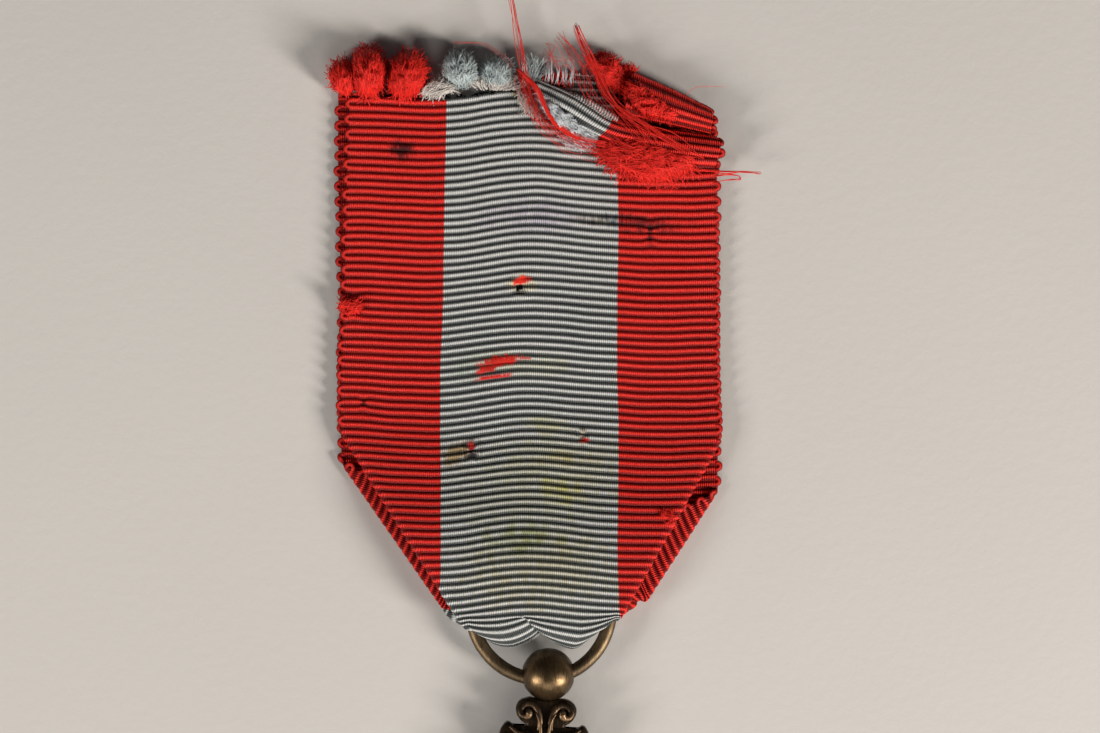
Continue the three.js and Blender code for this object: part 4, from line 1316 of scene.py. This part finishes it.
# (piece, outline, count, heading or root, length, low, high, seed, stray, thickness, yarn)
MATS = [
    ("tuft_outer_strands", TUFT_OUTER, 330, (-19.2, 49.3), 2.1, 1.1, 2.8, 1, 0.3, 1.0, "red"),
    ("tuft_left_strands", TUFT_LEFT, 760, (-16.9, 48.6), 2.6, 1.2, 3.7, 2, 0.25, 1.0, "red"),
    ("tuft_right_strands", TUFT_RIGHT, 760, (-13.6, 48.4), 2.5, 1.2, 3.6, 4, 0.3, 1.0, "red"),
    ("tuft_grey_strands", TUFT_GREY, 560, (-8.0, 50.0), 1.9, 1.1, 2.9, 6, 0.5, 0.9, "grey"),
    ("tuft_loops_strands", TUFT_LOOPS, 330, (-4.4, 49.4), 1.9, 0.9, 2.2, 7, 0.45, 0.9, "grey"),
    ("red_mass_strands", RED_MASS, 1500, -25, 3.6, 1.9, 3.6, 7, 0.45, 1.0, "red"),
    ("flap_fuzz_strands", FLAP_FUZZ, 900, -38, 1.7, 1.9, 3.5, 8, 0.9, 1.0, "red"),
    ("top_fuzz_strands", TOP_FUZZ, 950, -50, 2.0, 1.25, 2.2, 9, 0.55, 1.0, "red"),
    ("white_spray", WHITE_SPRAY, 190, 35, 2.4, 1.1, 2.0, 11, 0.35, 0.8, "pale"),
    ("strip_fuzz_strands", STRIP_FUZZ, 420, -38, 1.9, 1.9, 3.2, 12, 0.25, 0.8, "silver"),
    ("edge_fuzz", EDGE_FUZZ, 240, -60, 1.7, 1.2, 1.6, 13, 0.6, 0.7, "pale"),
    ("low_fuzz", LOW_FUZZ, 220, -10, 1.2, 1.2, 1.7, 14, 0.8, 0.7, "silver"),
    ("edge_knot", EDGE_KNOT, 200, 20, 1.3, 1.1, 1.65, 17, 0.9, 0.9, "red"),
    ("tuck_fuzz", TUCK_FUZZ, 150, 90, 1.2, 2.7, 3.1, 15, 0.9, 0.8, "red"),
]
# (piece, centre, base, half width, reach, rise, count, seed, lean, start height, thickness, yarn)
TUFTS = [
    ("tuft_left_tips", -17.0, 52.4, 1.0, 2.6, 0.8, 60, 3, 0.0, 2.2, 1.0, "red"),
    ("tuft_right_tips", -13.2, 52.2, 1.0, 2.4, 0.8, 50, 5, 0.0, 2.2, 1.0, "red"),
    ("tuft_fringe", -4.7, 51.7, 2.4, 1.2, 0.5, 210, 8, 0.1, 1.2, 0.9, "pale"),
    ("tuft_white", -0.9, 52.6, 0.9, 2.3, 1.1, 80, 9, 0.1, 1.25, 0.8, "grey"),
    ("top_sprigs", 8.8, 52.6, 0.55, 1.6, 0.8, 60, 10, 0.05, 1.25, 0.8, "red"),
]
# (piece, route, count, spread, wave, radius)
THREADS = [
    ("thread_top", [(-3.4, 61.5, 3.6), (-2.95, 59.9, 3.5), (-2.5, 57.5, 3.2), (-2.0, 55.0, 2.9),
                    (-1.7, 53.2, 2.6),
                    (-1.5, 52.2, 2.2)], 8, 0.22, 0.10, 0.030),
    ("thread_bundle", [(-2.1, 53.0, 2.6), (-0.5, 51.3, 3.3), (0.4, 49.4, 3.2), (1.3, 47.9, 3.1),
                       (2.5, 46.9, 3.0),
                       (4.1, 46.1, 3.0), (6.3, 45.7, 3.2)], 20, 0.12, 0.16, 0.042),
    ("thread_loose", [(-2.0, 52.8, 2.0), (-0.9, 50.3, 2.2), (0.2, 48.0, 2.1), (2.6, 46.3, 2.2),
                      (6.2, 44.9, 2.6)],
     24, 0.55, 0.32, 0.024),
    ("thread_second", [(3.3, 57.2, 3.2), (4.1, 55.2, 3.3), (5.3, 52.7, 3.4), (6.5, 50.2, 3.5),
                       (8.2, 48.3, 3.6),
                       (9.8, 46.6, 3.7), (11.4, 44.6, 3.4)], 13, 0.30, 0.18, 0.032),
    ("thread_fine", [(1.9, 56.3, 2.6), (3.6, 53.6, 2.8), (5.0, 50.7, 2.9), (6.4, 48.6, 3.2),
                     (8.4, 46.5, 3.5)],
     9, 0.75, 0.40, 0.022),
    ("thread_cross", [(7.8, 48.9, 3.4), (9.8, 47.7, 3.6), (12.0, 46.4, 3.6), (14.4, 44.9, 3.3),
                      (15.9, 44.1, 2.8)],
     12, 0.25, 0.15, 0.038),
    ("thread_right", [(15.6, 43.2, 2.2), (17.2, 43.05, 2.2), (19.4, 43.0, 2.0), (21.6, 42.9, 1.9)],
     5, 0.07, 0.05, 0.05),
    ("thread_right_loop", [(17.0, 42.5, 1.9), (18.2, 42.7, 1.9), (19.4, 42.6, 1.8), (19.5, 42.25, 1.8),
                           (18.6, 42.15, 1.8), (17.4, 42.0, 1.9)], 3, 0.05, 0.04, 0.045),
    ("thread_faint", [(14.2, 50.6, 2.2), (15.3, 51.3, 2.6), (17.2, 51.35, 2.6),
                      (18.3, 51.4, 2.4)], 1, 0.0, 0.0, 0.022),
    ("thread_arc", [(-8.6, 55.7, 2.8), (-5.9, 55.6, 3.1), (-4.6, 55.0, 3.1), (-3.4, 54.1, 2.9),
                    (-2.7, 53.2, 2.6)],
     2, 0.12, 0.1, 0.02),
    ("thread_wisps", [(0.7, 55.0, 1.9), (1.2, 53.9, 2.2), (2.2, 53.0, 2.2),
                      (3.0, 52.5, 2.0)], 7, 0.8, 0.40, 0.022),
]
THREAD_SEED = 60


def stitch_paths():
    """Red ends that hang over the back layer's top rib, and the white loops between them."""
    random = np.random.default_rng(16)
    part = np.linspace(0, 1, 9)[None]
    at = np.linspace(0.2, 3.0, 11)[:, None] + random.normal(0, 0.05, (11, 1))
    low, high = 51.35 + random.normal(0, 0.14, (11, 1)), 52.75 + random.normal(0, 0.10, (11, 1))
    arch = 0.95 + 0.35 * np.sin(np.pi * part) + 0 * at
    red = np.stack([at + 0.18 * part, high + (low - high) * part, arch], -1)
    at = np.repeat(at + 0.14, 2, axis=0) + random.normal(0, 0.05, (22, 1))
    top = 53.8 + random.normal(0, 0.38, (22, 1))
    lean = random.normal(0.0, 0.16, (22, 1))
    white = np.stack([at + (0.25 + lean) * np.sin(np.pi * part), top - (top - 51.5) * part,
                      1.0 + 0.85 * np.sin(np.pi * part) + 0 * at], -1)
    return red, white


def make_patches(silk):
    """The loose bits of cloth, with the loops of weft at the sides of those of two ribs or more."""
    pieces = []
    for name, rails, ribs, across in PATCHES:
        patch, ends = make_patch(name, rails, ribs, across, silk)
        pieces.append(patch)
        if ribs > 1:
            pieces.append(add_loops(name + "_loops", loops_round(ends), silk))
    return pieces


def make_fray():
    yarns = {name: yarn_material(*looks) for name, looks in YARNS.items()}
    pieces = [make_mound(*row, yarns[yarn]) for *row, yarn in MOUNDS]
    for name, *row, thickness, yarn in MATS:
        pieces.append(make_strands(name, matted_paths(*row), STRAND * thickness, yarns[yarn]))
    for name, *row, thickness, yarn in TUFTS:
        pieces.append(make_strands(name, tuft_paths(*row), STRAND * thickness, yarns[yarn]))
    for number, (name, *row, radius) in enumerate(THREADS):
        paths = wisp_paths(*row, THREAD_SEED + number)
        pieces.append(make_strands(name, paths, radius, yarns["red"]))
    red_ends, white_ends = stitch_paths()
    pieces.append(make_strands("stitch_red", red_ends, 0.10, yarns["red"], 6))
    pieces.append(make_strands("stitch_white", white_ends, 0.042, yarns["silver"], 6))
    return pieces


# ---- the metal pieces ----
# (material, patina, bare metal, shine, rub, brush)
BRONZES = {"brushed": ("brushed_bronze", (0.075, 0.047, 0.024), (0.34, 0.215, 0.11), 0.27, 0.16),
           "bead": ("bead_bronze", (0.034, 0.023, 0.012), (0.235, 0.150, 0.074), 0.24, -0.05, 1.0),
           "wire": ("wire_bronze", (0.045, 0.031, 0.017), (0.21, 0.145, 0.080), 0.37, -0.02, 1.0),
           "dark": ("dark_bronze", (0.034, 0.022, 0.013), (0.30, 0.19, 0.105), 0.32, 0.05)}
# (piece, CAD node, parts, bronze, slot, height from which it is worn and by which it is wholly so)
METALS = [
    ("ring_wire", "suspension_ring", ring_parts(), "wire", "aged_bronze", (-0.6, 0.6)),
    ("ring_bead", "suspension_ball", ball_parts(), "bead", "aged_bronze", (-2.6, 2.6)),
    ("bead_pin", "ball_peg", peg_parts(), "dark", "dark_bronze", (2.0, 3.0)),
    ("bracket", "scroll_bracket", bracket_parts(), "dark", "dark_bronze", (0.95, 1.5)),
    ("bracket_tongue", "bracket_key", key_parts(), "dark", "dark_bronze", (0.0, 1.0)),
    ("round_frame", "rim_frame", frame_parts(), "brushed", "aged_bronze", (0.9, 1.4)),
    ("disc", "planchet", planchet_parts(), "dark", "aged_bronze", (0.26, 0.5)),
    ("spring_ring", "retaining_ring", retaining_parts(), "brushed", "aged_bronze", (-2, 0)),
    ("wreath_branch_left", "wreath_left", branch_parts(-1), "brushed", "aged_bronze", (0.5, 0.95)),
    ("wreath_branch_right", "wreath_right", branch_parts(1), "brushed", "aged_bronze", (0.5, 0.95)),
    ("wreath_bow", "wreath_knot", knot_parts(), "brushed", "aged_bronze", (0.6, 1.0)),
    ("swords", "crossed_swords", sword_parts(math.pi / 4, FIELD) + sword_parts(-math.pi / 4, FIELD + 0.1),
     "brushed", "aged_bronze", (0.4, 0.75)),
    ("star", "centre_star", star_parts(), "brushed", "aged_bronze", (0.9, 1.9)),
    ("disc_rivet", "star_rivet", rivet_parts(), "brushed", "aged_bronze", (-1.2, 0.9)),
]


def make_metal():
    bronzes = {name: bronze_material(*looks) for name, looks in BRONZES.items()}
    pieces = {}
    for name, node, parts, bronze, slot, worn_range in METALS:
        place, body = (on_ring, "ring") if name == "ring_wire" else (on_medal, "medal")
        pieces[name] = add_metal(name, node, parts, bronzes[bronze], worn_range, place, body)
    facets = pieces["star"].data.polygons
    facets.foreach_set("use_smooth", [False] * len(facets))
    return pieces


make_camera()
make_lights()
make_board()

silk = silk_material()
ribbon = make_ribbon(silk)
selvedges = [make_selvedge(side, silk) for side in (-1, 1)]
loose = make_patches(silk) + make_fray()
for piece in loose:
    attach(piece, "loop" if piece.name == "tuck_fuzz" else "ribbon")
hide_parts("ribbon_front", "ribbon_back", "ribbon_taper_front", "ribbon_taper_back",
            "ribbon_tuck_left", "ribbon_tuck_right", "ribbon_fold", "fray_front_left",
            "fray_front_centre", "fray_front_tear", "fray_back")
metal = make_metal()

# The ribbon's and selvedges' transforms are baked into their meshes. The two points at 21.2 and 15.4 mm
# along Y are worked out and not used.
for piece in (ribbon, *selvedges):
    tuple(to_row((0, 21.2, 0)))
    tuple(to_row((0, 15.4, 0)))
    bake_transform(piece)
